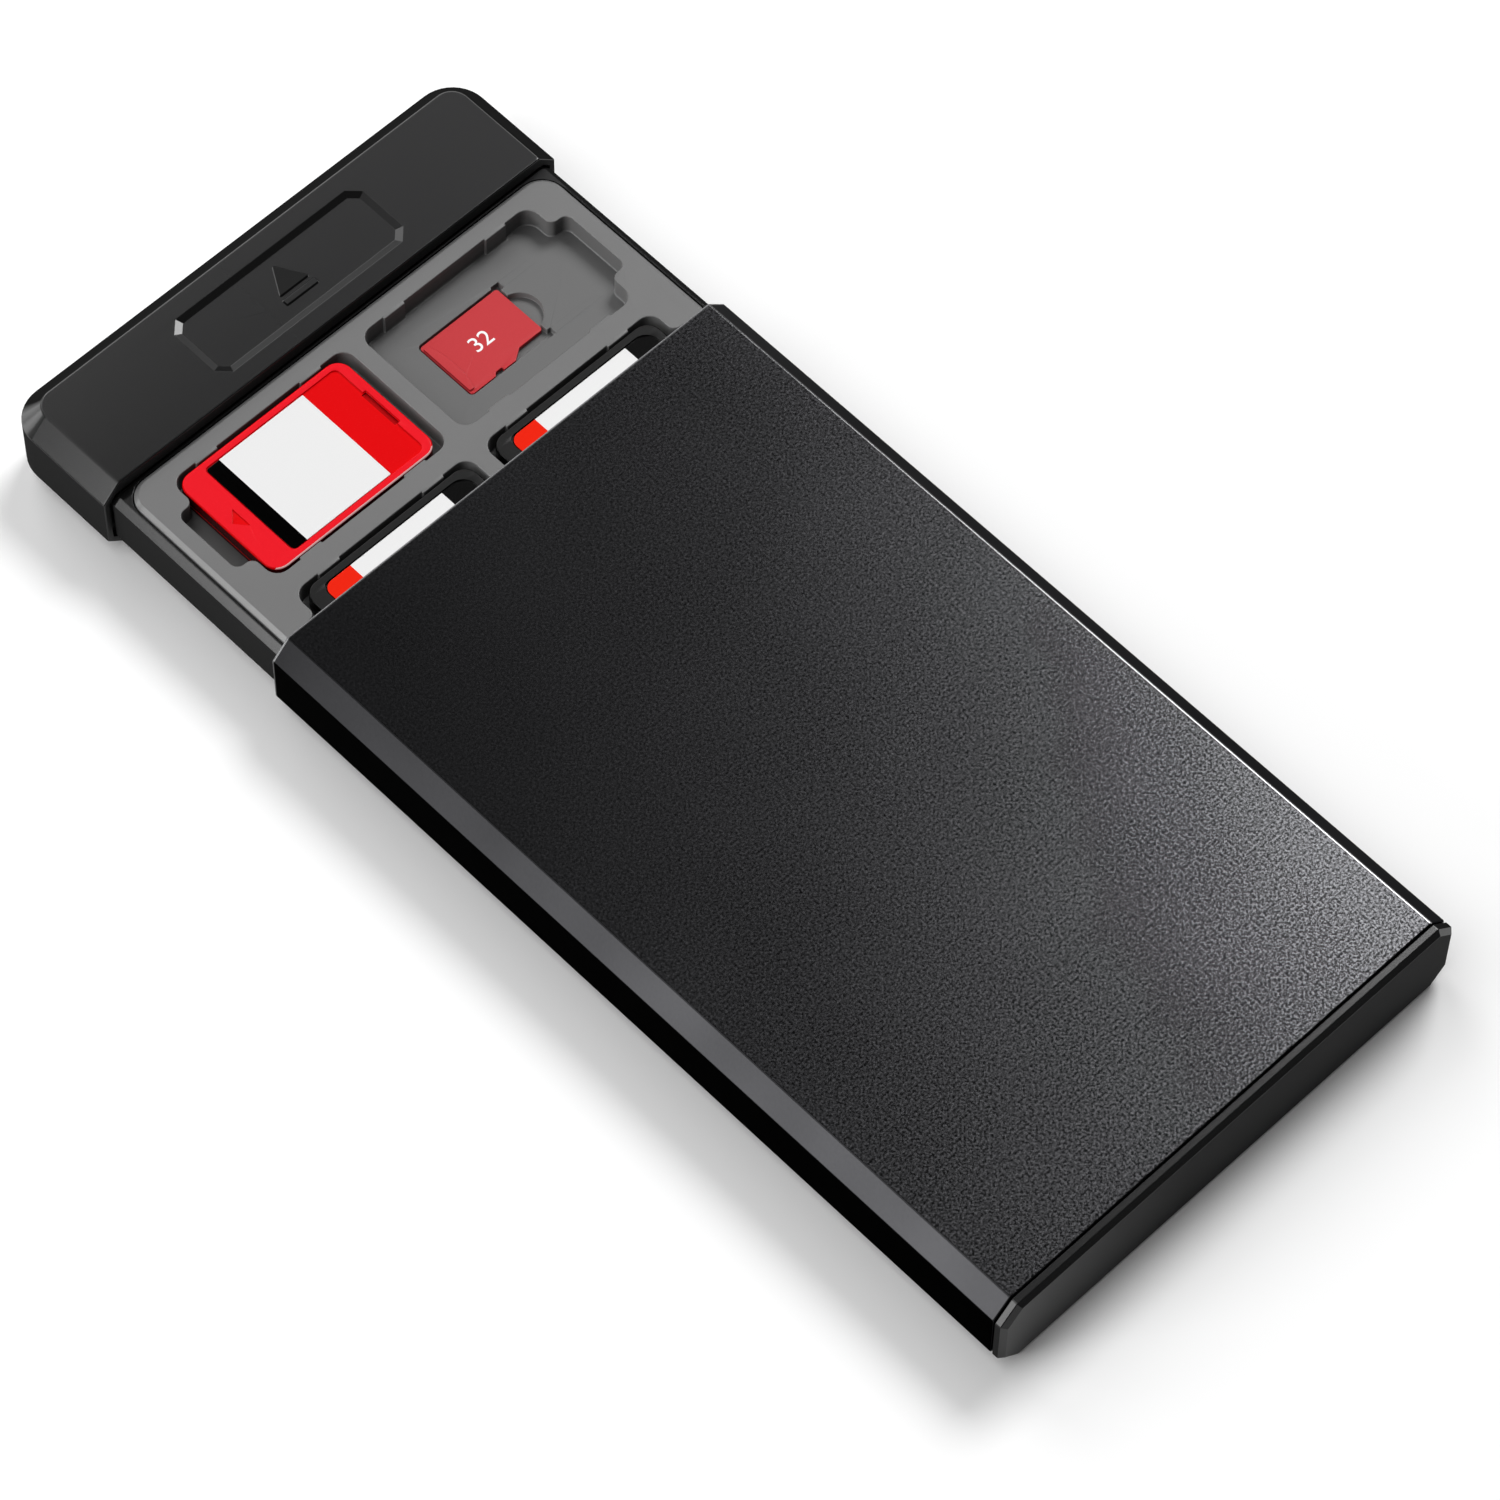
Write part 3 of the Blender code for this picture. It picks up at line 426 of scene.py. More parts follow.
# The other faces have a gloss. Shade is painted on the drawer's front, darker towards +X, and the
# cap's end is satin, less so towards +X.
black = (texture * 0.5 + flow * 0.5).mixed(PLASTIC_DARK, PLASTIC_LIGHT)
pull_painted_shade = (0.5 - x * 0.0125).clamped().mixed(PULL_SHADED, PULL_LIT)
black = ((upward.size() > 0.9) * (y < DRAWER_FRONT_Y)).mixed(black, pull_painted_shade)
painted_highlight.mixed(black, PLASTIC_HIGHLIGHT).into(shader, "Base Color")
satin = upright * (along > 0.5) * (0.75 - past(x, 8.0, 34.0) * 0.45)
(0.16 + texture * 0.06 + satin).into(shader, "Roughness")
emboss(shader, texture, 0.3, 10)

# The matt plastic is a second shader without gloss, blended in where a face is matt.
tree = black_plastic.node_tree
dull = tree.nodes.new("ShaderNodeBsdfPrincipled")
dull.inputs["Specular IOR Level"].default_value = 0.0
# Its colour holds painted light and shade: the upright sides are painted lighter, and the recess walls
# that look to +Y or +X painted darker.
dull_black = on_sign.mixed(upright.mixed(MATT_SLOPE, MATT_SIDE_PAINTED_LIGHT), MATT_SIGN)
shaded.mixed(dull_black, MATT_PAINTED_SHADE).into(dull, "Base Color")
blend = tree.nodes.new("ShaderNodeMixShader")
matt.into(blend, "Fac")
tree.links.new(shader.outputs["BSDF"], blend.inputs[1])
tree.links.new(dull.outputs["BSDF"], blend.inputs[2])
tree.links.new(blend.outputs["Shader"], tree.nodes["Material Output"].inputs["Surface"])

(_, plug_y, _), (_, cap_face_y, _) = span("end_cap")
plate_y = cap_face_y - CAP_PLATE
hollow = -CAP_PLUG_INSET - CAP_WALL
profile = outline([(hollow - 1, plate_y - CAP_SEAM), (hollow, plate_y - CAP_SEAM), (hollow, plug_y),
                   (-CAP_PLUG_INSET, plug_y), (-CAP_PLUG_INSET, plate_y), (0, plate_y),
                   (0, cap_face_y - CAP_EDGE), (-CAP_EDGE, cap_face_y), (-2, cap_face_y)],
                  [0, *[CAP_ROUND] * 3, CAP_SEAT_ROUND, CAP_SEAM_EDGE, CAP_ROUND, CAP_ROUND, 0],
                  steps=4, closed=False)
skin = Skin()
numbers = skin.rows(case_rings(profile))
skin.fill(numbers[0])
skin.fill(numbers[-1])
skin.piece("end_cap_moulding", black_plastic, "case", "end_cap")


# Drawer tray: a black moulded frame on both faces of one web, with a ribbed tongue at its front
# for the pull. It is a merged copy of the CAD solid, and a fine bevel eases its edges.
TRAY_BEVEL, TRAY_BEVEL_DEGREES, TRAY_FLAT_DEGREES = 0.12, 35.0, 0.5

tray_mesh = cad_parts["drawer_tray"].data.copy()
shape = bmesh.new()
shape.from_mesh(tray_mesh)
bmesh.ops.remove_doubles(shape, verts=shape.verts, dist=MERGE_METRES)
bmesh.ops.dissolve_limit(shape, angle_limit=np.radians(TRAY_FLAT_DEGREES), verts=shape.verts,
                         edges=shape.edges)
bmesh.ops.recalc_face_normals(shape, faces=shape.faces)
shape.to_mesh(tray_mesh)
shape.free()
tray_mesh.materials.clear()
tray_mesh.materials.append(black_plastic)
tray_mesh.shade_smooth()
tray = bpy.data.objects.new("drawer_tray_moulding", tray_mesh)
bpy.context.scene.collection.objects.link(tray)
easing = tray.modifiers.new("eased_edges", "BEVEL")
easing.width, easing.segments = TRAY_BEVEL / 1000, 2
easing.angle_limit = np.radians(TRAY_BEVEL_DEGREES)
even = tray.modifiers.new("even_shading", "WEIGHTED_NORMAL")
even.keep_sharp = True
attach(tray, "drawer")
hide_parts("drawer_tray")


# Drawer pull: a black moulding that carries the case's section round its front corners, with a
# shallow eight-sided thumb recess and a raised pull sign on both faces. Its rear takes the tray.
PULL_CORNER, PULL_EDGE, PULL_REAR_EDGE = 6.0, 0.45, 0.30
THUMB_CUT, THUMB_WALL, THUMB_EDGE, THUMB_ROUND = 1.9, 1.1, 0.5, 0.35
ARROW_HALF_WIDTH, BAR_FRONT_Y, BAR_REAR_Y = 2.6, -112.1, -111.2
SIGN_DRAFT, SIGN_FOOT, SIGN_EDGE, SIGN_ROUND = 0.2, 0.03, 0.06, 0.08
REBATE_EDGE, REBATE_FOOT, REBATE_ROUND = 0.12, 0.1, 0.2
REBATE_HALF_WIDTH, REBATE_HALF_HEIGHT, REBATE_CUT, REBATE_FLOOR_Y = 42.25, 5.35, 1.285, -106.2
CAVITY_HALF_WIDTH, CAVITY_HALF_HEIGHT, CAVITY_FLOOR_Y = 39.0, 4.5, -121.2
SLOT_X, SLOT_Y, SLOT_HALF_WIDTH, SLOT_HALF_LENGTH, SLOT_DEPTH = 22.0, -113.4, 3.3, 1.1, 0.5


def carried(corners, radii, profile, steps=6):
    """An outline carried up a profile of (growth, height): the rings of a wall."""
    return np.stack([np.column_stack([ring, np.full(len(ring), height)])
                     for growth, height in profile
                     for ring in [outline(corners, radii, growth, steps)]])


def edge_profile(points, radii, steps=4):
    """An open profile with round corners, from its first tangent point to its last. The first
    and last points only aim its ends."""
    return outline(points, radii, steps=steps, closed=False)[1:-1]


def sunk_wall(top, bottom, rim, foot, steps=4):
    """The profile of a pocket's upright wall, with its rim and its foot rounded."""
    return edge_profile([(1, top), (0, top), (0, bottom), (-1, bottom)], [0, rim, foot, 0], steps)


def outer_side(top, bottom, upper, lower, steps=4):
    """The profile of a block's upright side, with its upper and lower edges rounded."""
    return edge_profile([(-1, top), (0, top), (0, bottom), (-1, bottom)], [0, upper, lower, 0],
                        steps)


def rectangle(low, high):
    """The corners from the lowest one round, with the inside on the left."""
    return [low, (high[0], low[1]), high, (low[0], high[1])]


# The block is a stack of plans from its upper face down. At each depth its sides and front
# move in along the case's chamfer, and its rear along a quarter circle. The lower half mirrors
# the upper, and strips close the rear where it bends in.
(_, pull_front_y, _), (_, pull_rear_y, _) = span("drawer_pull")
face_z = 2 * CASE_HALF_HEIGHT
side = edge_profile([(CASE_CHAMFER + 1, 0), (CASE_CHAMFER, 0), (0, CASE_CHAMFER),
                     (0, CASE_HALF_HEIGHT)], [0, PULL_EDGE, PULL_EDGE, 0])
quarter = PULL_REAR_EDGE * (1 - np.cos(np.linspace(0, np.pi / 2, 6)))
depths = np.unique(np.round([*side[:, 1], *quarter, CASE_HALF_HEIGHT], 5))
side_inset = np.interp(depths, side[:, 1], side[:, 0])
rear_inset = PULL_REAR_EDGE - np.sqrt(PULL_REAR_EDGE ** 2
                                      - np.maximum(PULL_REAR_EDGE - depths, 0) ** 2)


def pull_ring(inset, rear, z):
    """The pull's plan with its sides and front moved in by inset and its rear moved in by rear."""
    w = CASE_HALF_WIDTH - inset
    corners = [(-w, pull_rear_y - rear), (-w, pull_front_y + inset),
               (w, pull_front_y + inset), (w, pull_rear_y - rear)]
    corner = PULL_CORNER - inset
    ring = outline(corners, [PULL_REAR_EDGE, corner, corner, PULL_REAR_EDGE], steps=10)
    return np.column_stack([ring, np.full(len(ring), z)])


top = np.stack([pull_ring(*row) for row in zip(side_inset, rear_inset, face_z - depths)])
bottom = top[-2::-1] * (1, 1, -1) + (0, 0, face_z)
skin = Skin()
numbers = skin.rows(np.concatenate([top, bottom]), closed=False)
bend_rows = int((rear_inset > 1e-6).sum()) + 1
for rows in (numbers[:bend_rows], numbers[-bend_rows:]):
    skin.faces += np.stack([rows[:-1, -1], rows[:-1, 0], rows[1:, 0], rows[1:, -1]], -1).tolist()

# The thumb recess has sloping walls, and the pull sign, an arrow over a bar, stands on its
# floor. The same recess and sign are mirrored to the lower face.
plan = eight_sided(THUMB_HALF_LENGTH, THUMB_HALF_WIDTH, THUMB_CUT, THUMB_Y)
floor_z = face_z - THUMB_DEPTH
slope = edge_profile([(1, face_z), (0, face_z), (-THUMB_WALL, floor_z), (-THUMB_WALL - 1, floor_z)],
                     [0, THUMB_EDGE, THUMB_EDGE, 0])
arrow = [(0.0, SIGN_TIP_Y), (ARROW_HALF_WIDTH, SIGN_REAR_Y), (-ARROW_HALF_WIDTH, SIGN_REAR_Y)]
bar = rectangle((-SIGN_HALF_WIDTH, BAR_FRONT_Y), (SIGN_HALF_WIDTH, BAR_REAR_Y))
sign_z = floor_z + SIGN_HEIGHT
climb = edge_profile([(1, floor_z), (SIGN_DRAFT, floor_z), (0, sign_z), (-1, sign_z)],
                     [0, SIGN_FOOT, SIGN_EDGE, 0], steps=2)
for way, rim in ((1, numbers[0]), (-1, numbers[-1])):
    mirror, shift = np.array([1, 1, way]), np.array([0, 0, CASE_HALF_HEIGHT * (1 - way)])
    recess = skin.rows(carried(plan, THUMB_ROUND, slope) * mirror + shift)
    skin.fill(rim, recess[0])
    feet = []
    for corners in (arrow, bar):
        sign = skin.rows(carried(corners, SIGN_ROUND, climb, 4) * mirror + shift)
        skin.fill(sign[-1])
        feet.append(sign[0])
    skin.fill(recess[-1], *feet)

# In the rear a rebate takes the end of the tray's frame. Behind it a cavity takes the tongue,
# and four slots in its upper and lower walls take the snap lugs.
mouth = eight_sided(REBATE_HALF_WIDTH, REBATE_HALF_HEIGHT, REBATE_CUT, CASE_HALF_HEIGHT)
drop = sunk_wall(pull_rear_y, REBATE_FLOOR_Y, REBATE_EDGE, REBATE_FOOT, steps=3)
rebate = skin.rows(carried(mouth, REBATE_ROUND, drop)[..., [0, 2, 1]])
flat_rows = numbers[bend_rows - 1:len(numbers) - bend_rows + 1]
skin.fill(np.concatenate([flat_rows[:, -1], flat_rows[::-1, 0]]), rebate[0])
stations = [-CAVITY_HALF_WIDTH, -SLOT_X - SLOT_HALF_WIDTH, -SLOT_X + SLOT_HALF_WIDTH,
            SLOT_X - SLOT_HALF_WIDTH, SLOT_X + SLOT_HALF_WIDTH, CAVITY_HALF_WIDTH]
low_z, high_z = CASE_HALF_HEIGHT - CAVITY_HALF_HEIGHT, CASE_HALF_HEIGHT + CAVITY_HALF_HEIGHT
ring = np.array([(x, low_z) for x in stations] + [(x, high_z) for x in stations[::-1]])
cuts = (REBATE_FLOOR_Y, SLOT_Y + SLOT_HALF_LENGTH, SLOT_Y - SLOT_HALF_LENGTH, CAVITY_FLOOR_Y)
walls = np.stack([np.column_stack([ring[:, 0], np.full(len(ring), y), ring[:, 1]])
                  for y in cuts])
slot_columns = (1, 3, 7, 9)
cavity = skin.rows(walls, leave=[(1, column) for column in slot_columns])
skin.fill(rebate[-1], cavity[0])
skin.fill(cavity[-1])
for column in slot_columns:
    rim = walls[[1, 1, 2, 2], [column, column + 1, column + 1, column]]
    lift = np.sign(rim[0, 2] - CASE_HALF_HEIGHT) * SLOT_DEPTH
    slot = skin.rows(np.stack([rim, rim + (0, 0, lift)]))
    skin.fill(slot[-1])
skin.piece("drawer_pull_moulding", black_plastic, "drawer", "drawer_pull")


# Card liners: one soft grey moulded block lies in each frame of the tray. Each has ten pockets
# for game cards, with grip ribs and a finger notch, and a micro card pocket in every floor.
LINER_CORNER, LINER_CHAMFER, LINER_EDGE, LINER_FOOT = 3.8, 0.7, 0.3, 0.2
GAME_DEPTH, MICRO_DEPTH = 3.5, 1.05
ROWS, FIRST_ROW_Y, ROW_PITCH, POCKET_X, MICRO_X = 5, -90.0, 25.5, 17.85, 15.3
POCKET_HALF_LENGTH, POCKET_HALF_WIDTH, POCKET_CORNER = 16.45, 11.05, 2.2
RIB_INNER, RIB_OUTER, RIB_HEIGHT, RIB_ROUND = 7.85, 11.8, 0.35, 0.16
NOTCH_HALF_LENGTH, NOTCH_DEPTH, NOTCH_ROUND = 6.2, 3.0, 1.3
MICRO_HALF_LENGTH, MICRO_HALF_WIDTH, MICRO_CORNER = 7.75, 5.75, 0.7
FINGER_X, FINGER_RADIUS, FINGER_ROUND, FINGER_MOUTH = 6.9, 3.5, 3.4, 0.05
EAR_START, EAR_REACH, EAR_DEPTH, EAR_END, EAR_ROUND = 0.9, 0.65, 0.3, 4.85, 0.12
POCKET_RIM, POCKET_FOOT, MICRO_RIM, MICRO_FOOT, SUNK_RISE = 0.16, 0.25, 0.10, 0.12, 4.9
RUBBER_DARK, RUBBER_LIGHT, RUBBER_POCKET_SHADE, RUBBER_PAINTED_LIGHT = grey(0.104), grey(0.132), grey(0.09), grey(0.22)

# Shade is painted down in the pockets, which is nearer the case's middle than SUNK_RISE, and light
# is painted where the rubber looks to +X, as the pockets' end walls and the liner's outer edge do.
# That outer edge is polished too.
grey_rubber, shader, place = new_finish("grey_moulded_rubber", grey(0.135), 0.42)
texture = place.node("TexNoise", {"Vector": place, "Scale": 6.0, "Detail": 2.0})
flow = place.node("TexNoise", {"Vector": place, "Scale": 0.06, "Detail": 2.0})
facing = place.node("NewGeometry", {}, output="Normal")
across, upward = facing.part("X"), facing.part("Z")
sunk = (place.part("Z") - CASE_HALF_HEIGHT).size() < SUNK_RISE
polished = (across > 0.3) * (upward.size() > 0.3) * (1 - sunk)
rubber = (texture * 0.4 + flow * 0.6).mixed(RUBBER_DARK, RUBBER_LIGHT)
rubber = sunk.mixed(rubber, RUBBER_POCKET_SHADE)
past(across, 0.25, 0.4).mixed(rubber, RUBBER_PAINTED_LIGHT).into(shader, "Base Color")
(0.38 + flow * 0.08 - polished * 0.17).into(shader, "Roughness")
emboss(shader, texture, 0.2, 10)


def both_halves(corners, radii):
    """An outline drawn below its long centre line, and the same mirrored above it."""
    return (corners + [(x, -y) for x, y in corners[::-1]]), np.array(radii + radii[::-1])


def placed(corners, centre, side):
    """Corners moved to a centre, with their +X end turned to -X where side is -1."""
    moved = [(centre[0] + side * x, centre[1] + y) for x, y in corners]
    return moved if side > 0 else moved[::-1]


def below(face_z, way, profile):
    """A profile of (growth, depth below a liner's face) turned into (growth, z)."""
    return profile * (1, -way) + (0, face_z)


wide, crest = -POCKET_HALF_WIDTH, RIB_HEIGHT - POCKET_HALF_WIDTH
game_pocket, game_radii = both_halves(
    [(-POCKET_HALF_LENGTH, wide),
     (-RIB_OUTER, wide), (-RIB_OUTER, crest), (-RIB_INNER, crest), (-RIB_INNER, wide),
     (RIB_INNER, wide), (RIB_INNER, crest), (RIB_OUTER, crest), (RIB_OUTER, wide),
     (POCKET_HALF_LENGTH, wide), (POCKET_HALF_LENGTH, -NOTCH_HALF_LENGTH),
     (POCKET_HALF_LENGTH + NOTCH_DEPTH, -NOTCH_HALF_LENGTH)],
    [POCKET_CORNER, *[RIB_ROUND] * 8, POCKET_CORNER, NOTCH_ROUND, NOTCH_ROUND])

# The micro card pocket is a rectangle with an ear at both corners of its +X end, and a finger
# hole there: an arc of FINGER_RADIUS, drawn as three corners that are rounded nearly to it.
reach = np.arccos((MICRO_HALF_LENGTH - FINGER_X) / FINGER_RADIUS)
sixth = reach / 3
tip = FINGER_RADIUS / np.cos(sixth)
finger = [(FINGER_X + tip * np.cos(angle), tip * np.sin(angle))
          for angle in (-2 * sixth, 0.0, 2 * sixth)]
joint = FINGER_RADIUS * np.sin(reach)
ear_x, ear_end_x = MICRO_HALF_LENGTH - EAR_START, MICRO_HALF_LENGTH + EAR_REACH
ear = [(ear_x, -MICRO_HALF_WIDTH), (ear_x, -MICRO_HALF_WIDTH - EAR_DEPTH),
       (ear_end_x, -MICRO_HALF_WIDTH - EAR_DEPTH), (ear_end_x, -EAR_END),
       (MICRO_HALF_LENGTH, -EAR_END)]
micro_pocket = [(-MICRO_HALF_LENGTH, -MICRO_HALF_WIDTH), *ear, (MICRO_HALF_LENGTH, -joint), *finger,
                (MICRO_HALF_LENGTH, joint), *[(x, -y) for x, y in ear[::-1]],
                (-MICRO_HALF_LENGTH, MICRO_HALF_WIDTH)]
ear_radii = [EAR_ROUND] * len(ear)
micro_radii = np.array([MICRO_CORNER, *ear_radii, FINGER_MOUTH, *[FINGER_ROUND] * 3, FINGER_MOUTH,
                        *ear_radii, MICRO_CORNER])
game_wall = sunk_wall(0, GAME_DEPTH, POCKET_RIM, POCKET_FOOT)
micro_wall = sunk_wall(GAME_DEPTH, GAME_DEPTH + MICRO_DEPTH, MICRO_RIM, MICRO_FOOT, steps=3)

for name, way in (("top_card_liner", 1), ("bottom_card_liner", -1)):
    low, high = span(name)
    face_z = high[2] if way > 0 else low[2]
    thickness = high[2] - low[2]
    sides = edge_profile([(-2, 0), (-LINER_CHAMFER, 0), (0, LINER_CHAMFER), (0, thickness),
                          (-2, thickness)], [0, LINER_EDGE, LINER_EDGE, LINER_FOOT, 0])
    plan = rectangle(tuple(low[:2]), tuple(high[:2]))
    skin = Skin()
    body = skin.rows(carried(plan, LINER_CORNER, below(face_z, way, sides), 10))
    rims = []
    for row in range(ROWS):
        for side in (-1, 1):
            y = FIRST_ROW_Y + row * ROW_PITCH
            corners = placed(game_pocket, (side * POCKET_X, y), side)
            wall = below(face_z, way, game_wall)
            pocket = skin.rows(carried(corners, game_radii[::side], wall))
            rims.append(pocket[0])
            corners = placed(micro_pocket, (side * MICRO_X, y), side)
            wall = below(face_z, way, micro_wall)
            nest = skin.rows(carried(corners, micro_radii[::side], wall))
            skin.fill(pocket[-1], nest[0])
            skin.fill(nest[-1])
    skin.fill(body[0], *rims)
    skin.fill(body[-1])
    skin.piece(name + "_moulding", grey_rubber, "drawer", name)


# Game cards: a front and a back shell of satin plastic, closed round a contact board. A printed
# film label lies in a shallow well with a grip slot. A small sunk arrow on the red card shows
# the end that goes in first.
CARD_CORNER, CARD_EDGE, CARD_WALL, SEAM_EDGE, BACK_EDGE = 2.4, 0.32, 1.3, 0.08, 0.2
BACK_SHELL, HOLLOW_DEPTH, HOLLOW_CORNER, FINE_EDGE = 0.8, 0.9, 0.2, 0.05
WINDOW_LENGTH, WINDOW_MARGIN, WINDOW_SIDE, WINDOW_CORNER, WINDOW_EDGE = 6.0, 2.2, 3.0, 0.3, 0.1
WELL_DEPTH, WELL_EDGE, FILM_TOP_EDGE, FILM_FOOT_EDGE = 0.25, 0.1, 0.04, 0.02
GRIP_REACH, GRIP_WIDTH, GRIP_LENGTH, GRIP_DEPTH, GRIP_ROUND = 0.55, 0.9, 7.2, 0.3, 0.12
GRIP_RADII = (0.1, 0.15, 0.15, 0.1)
ARROW = [(12.55, -1.8), (14.21, 0.1), (12.51, 2.15)]
ARROW_DEPTH, ARROW_ROUND, ARROW_EDGE = 0.2, 0.1, 0.04

# A label well is given by its two ends from the card's middle, its half width and the radii of
# its corners, and a film by the radii of its corners.
RED_WELL, RED_FILM = ((-13.8, 11.04), 9.35, (1.0, 0.65, 0.95, 1.2)), (0.15, 0.5, 0.8, 0.15)
BLACK_WELL, BLACK_FILM = ((-14.1, 13.0), 9.2, (2.4, 1.3, 1.3, 2.4)), (0.12, 1.6, 1.6, 0.12)
STRIP_BLACK, STRIP_RED = grey(0.0), (0.76, 0.018, 0.006)
RIM_RED_DARK, RIM_RED_LIGHT = (0.73, 0.007, 0.015), (0.76, 0.009, 0.018)
WELL_RED_DARK, WELL_RED_LIGHT = (0.66, 0.0, 0.001), (0.69, 0.0, 0.002)
SLOT_SHADE_RED, SIDE_SHADE_RED, PAINTED_GLINT_RED = (0.42, 0.0, 0.001), (0.06, 0.0, 0.001), (0.85, 0.50, 0.50)
CARD_BLACK_DARK, CARD_BLACK_LIGHT, WELL_BLACK = grey(0.006), grey(0.010), grey(0.001)
FILM_DARK, FILM_LIGHT = grey(0.72), grey(0.75)
MASK_DARK, MASK_LIGHT, GOLD = (0.012, 0.12, 0.04), (0.03, 0.19, 0.06), (0.75, 0.55, 0.22)

# The red deepens in the label well, and painted shade darkens it more in the slot below it. The
# sides are painted dark as shade, and the upper edge that looks to +Y has a painted glint.
card_rear_y, card_top_z = map(float, span("game_card_1_front_shell")[1][1:])
red_plastic, shader, place = new_finish("red_satin_plastic", (0.74, 0.007, 0.015), 0.26,
                                        Specular_IOR_Level=0.06)
speck = place.node("TexNoise", {"Vector": place, "Scale": 3.0, "Detail": 2.0})
y, height = place.part("Y"), place.part("Z")
facing = place.node("NewGeometry", {}, output="Normal")
along, upward = facing.part("Y"), facing.part("Z")
on_top = height > card_top_z - 0.3
on_side = (upward.size() < 0.3) * (1 - on_top)
painted_glint = (along > 0.35) * (upward > 0.3) * on_top * (y > card_rear_y - 0.8)
well_red, rim_red = speck.mixed(WELL_RED_DARK, WELL_RED_LIGHT), speck.mixed(RIM_RED_DARK, RIM_RED_LIGHT)
red = (height < card_top_z - 0.03).mixed(rim_red, well_red)
red = (height < card_top_z - 0.4).mixed(red, SLOT_SHADE_RED)
on_side.mixed(painted_glint.mixed(red, PAINTED_GLINT_RED), SIDE_SHADE_RED).into(shader, "Base Color")
(0.24 + speck * 0.05).into(shader, "Roughness")
emboss(shader, speck, 0.15, 10)

card_black, shader, place = new_finish("black_satin_plastic", grey(0.012), 0.28,
                                       Specular_IOR_Level=0.14)
speck = place.node("TexNoise", {"Vector": place, "Scale": 4.0, "Detail": 2.0})
in_well = place.part("Z") < card_top_z - 0.03
rim_black = speck.mixed(CARD_BLACK_DARK, CARD_BLACK_LIGHT)
in_well.mixed(rim_black, WELL_BLACK).into(shader, "Base Color")
(0.30 + speck * 0.05 - in_well * 0.12).into(shader, "Roughness")
emboss(shader, speck, 0.15, 10)


def printed_film(name, strip_x, strip_colour):
    """A white coated film with one plain strip across its end, from strip_x to +X."""
    film, shader, place = new_finish(name, FILM_LIGHT, 0.28, Specular_IOR_Level=0.1)
    fibre = place.node("TexNoise", {"Vector": place, "Scale": 8.0, "Detail": 2.0})
    strip = place.part("X") > strip_x
    strip.mixed(fibre.mixed(FILM_DARK, FILM_LIGHT), strip_colour).into(shader, "Base Color")
    (0.25 + fibre * 0.05 - strip * 0.17).into(shader, "Roughness")
    return film


board_low_z = float(span("game_card_1_board")[0][2])
board_green, shader, place = new_finish("solder_mask_and_gold", (0.02, 0.16, 0.05), 0.45)
weave = place.node("TexNoise", {"Vector": place, "Scale": 2.5, "Detail": 2.0})
pads = place.part("Z") < board_low_z + 0.04
pads.mixed(weave.mixed(MASK_DARK, MASK_LIGHT), GOLD).into(shader, "Base Color")
pads.into(shader, "Metallic")

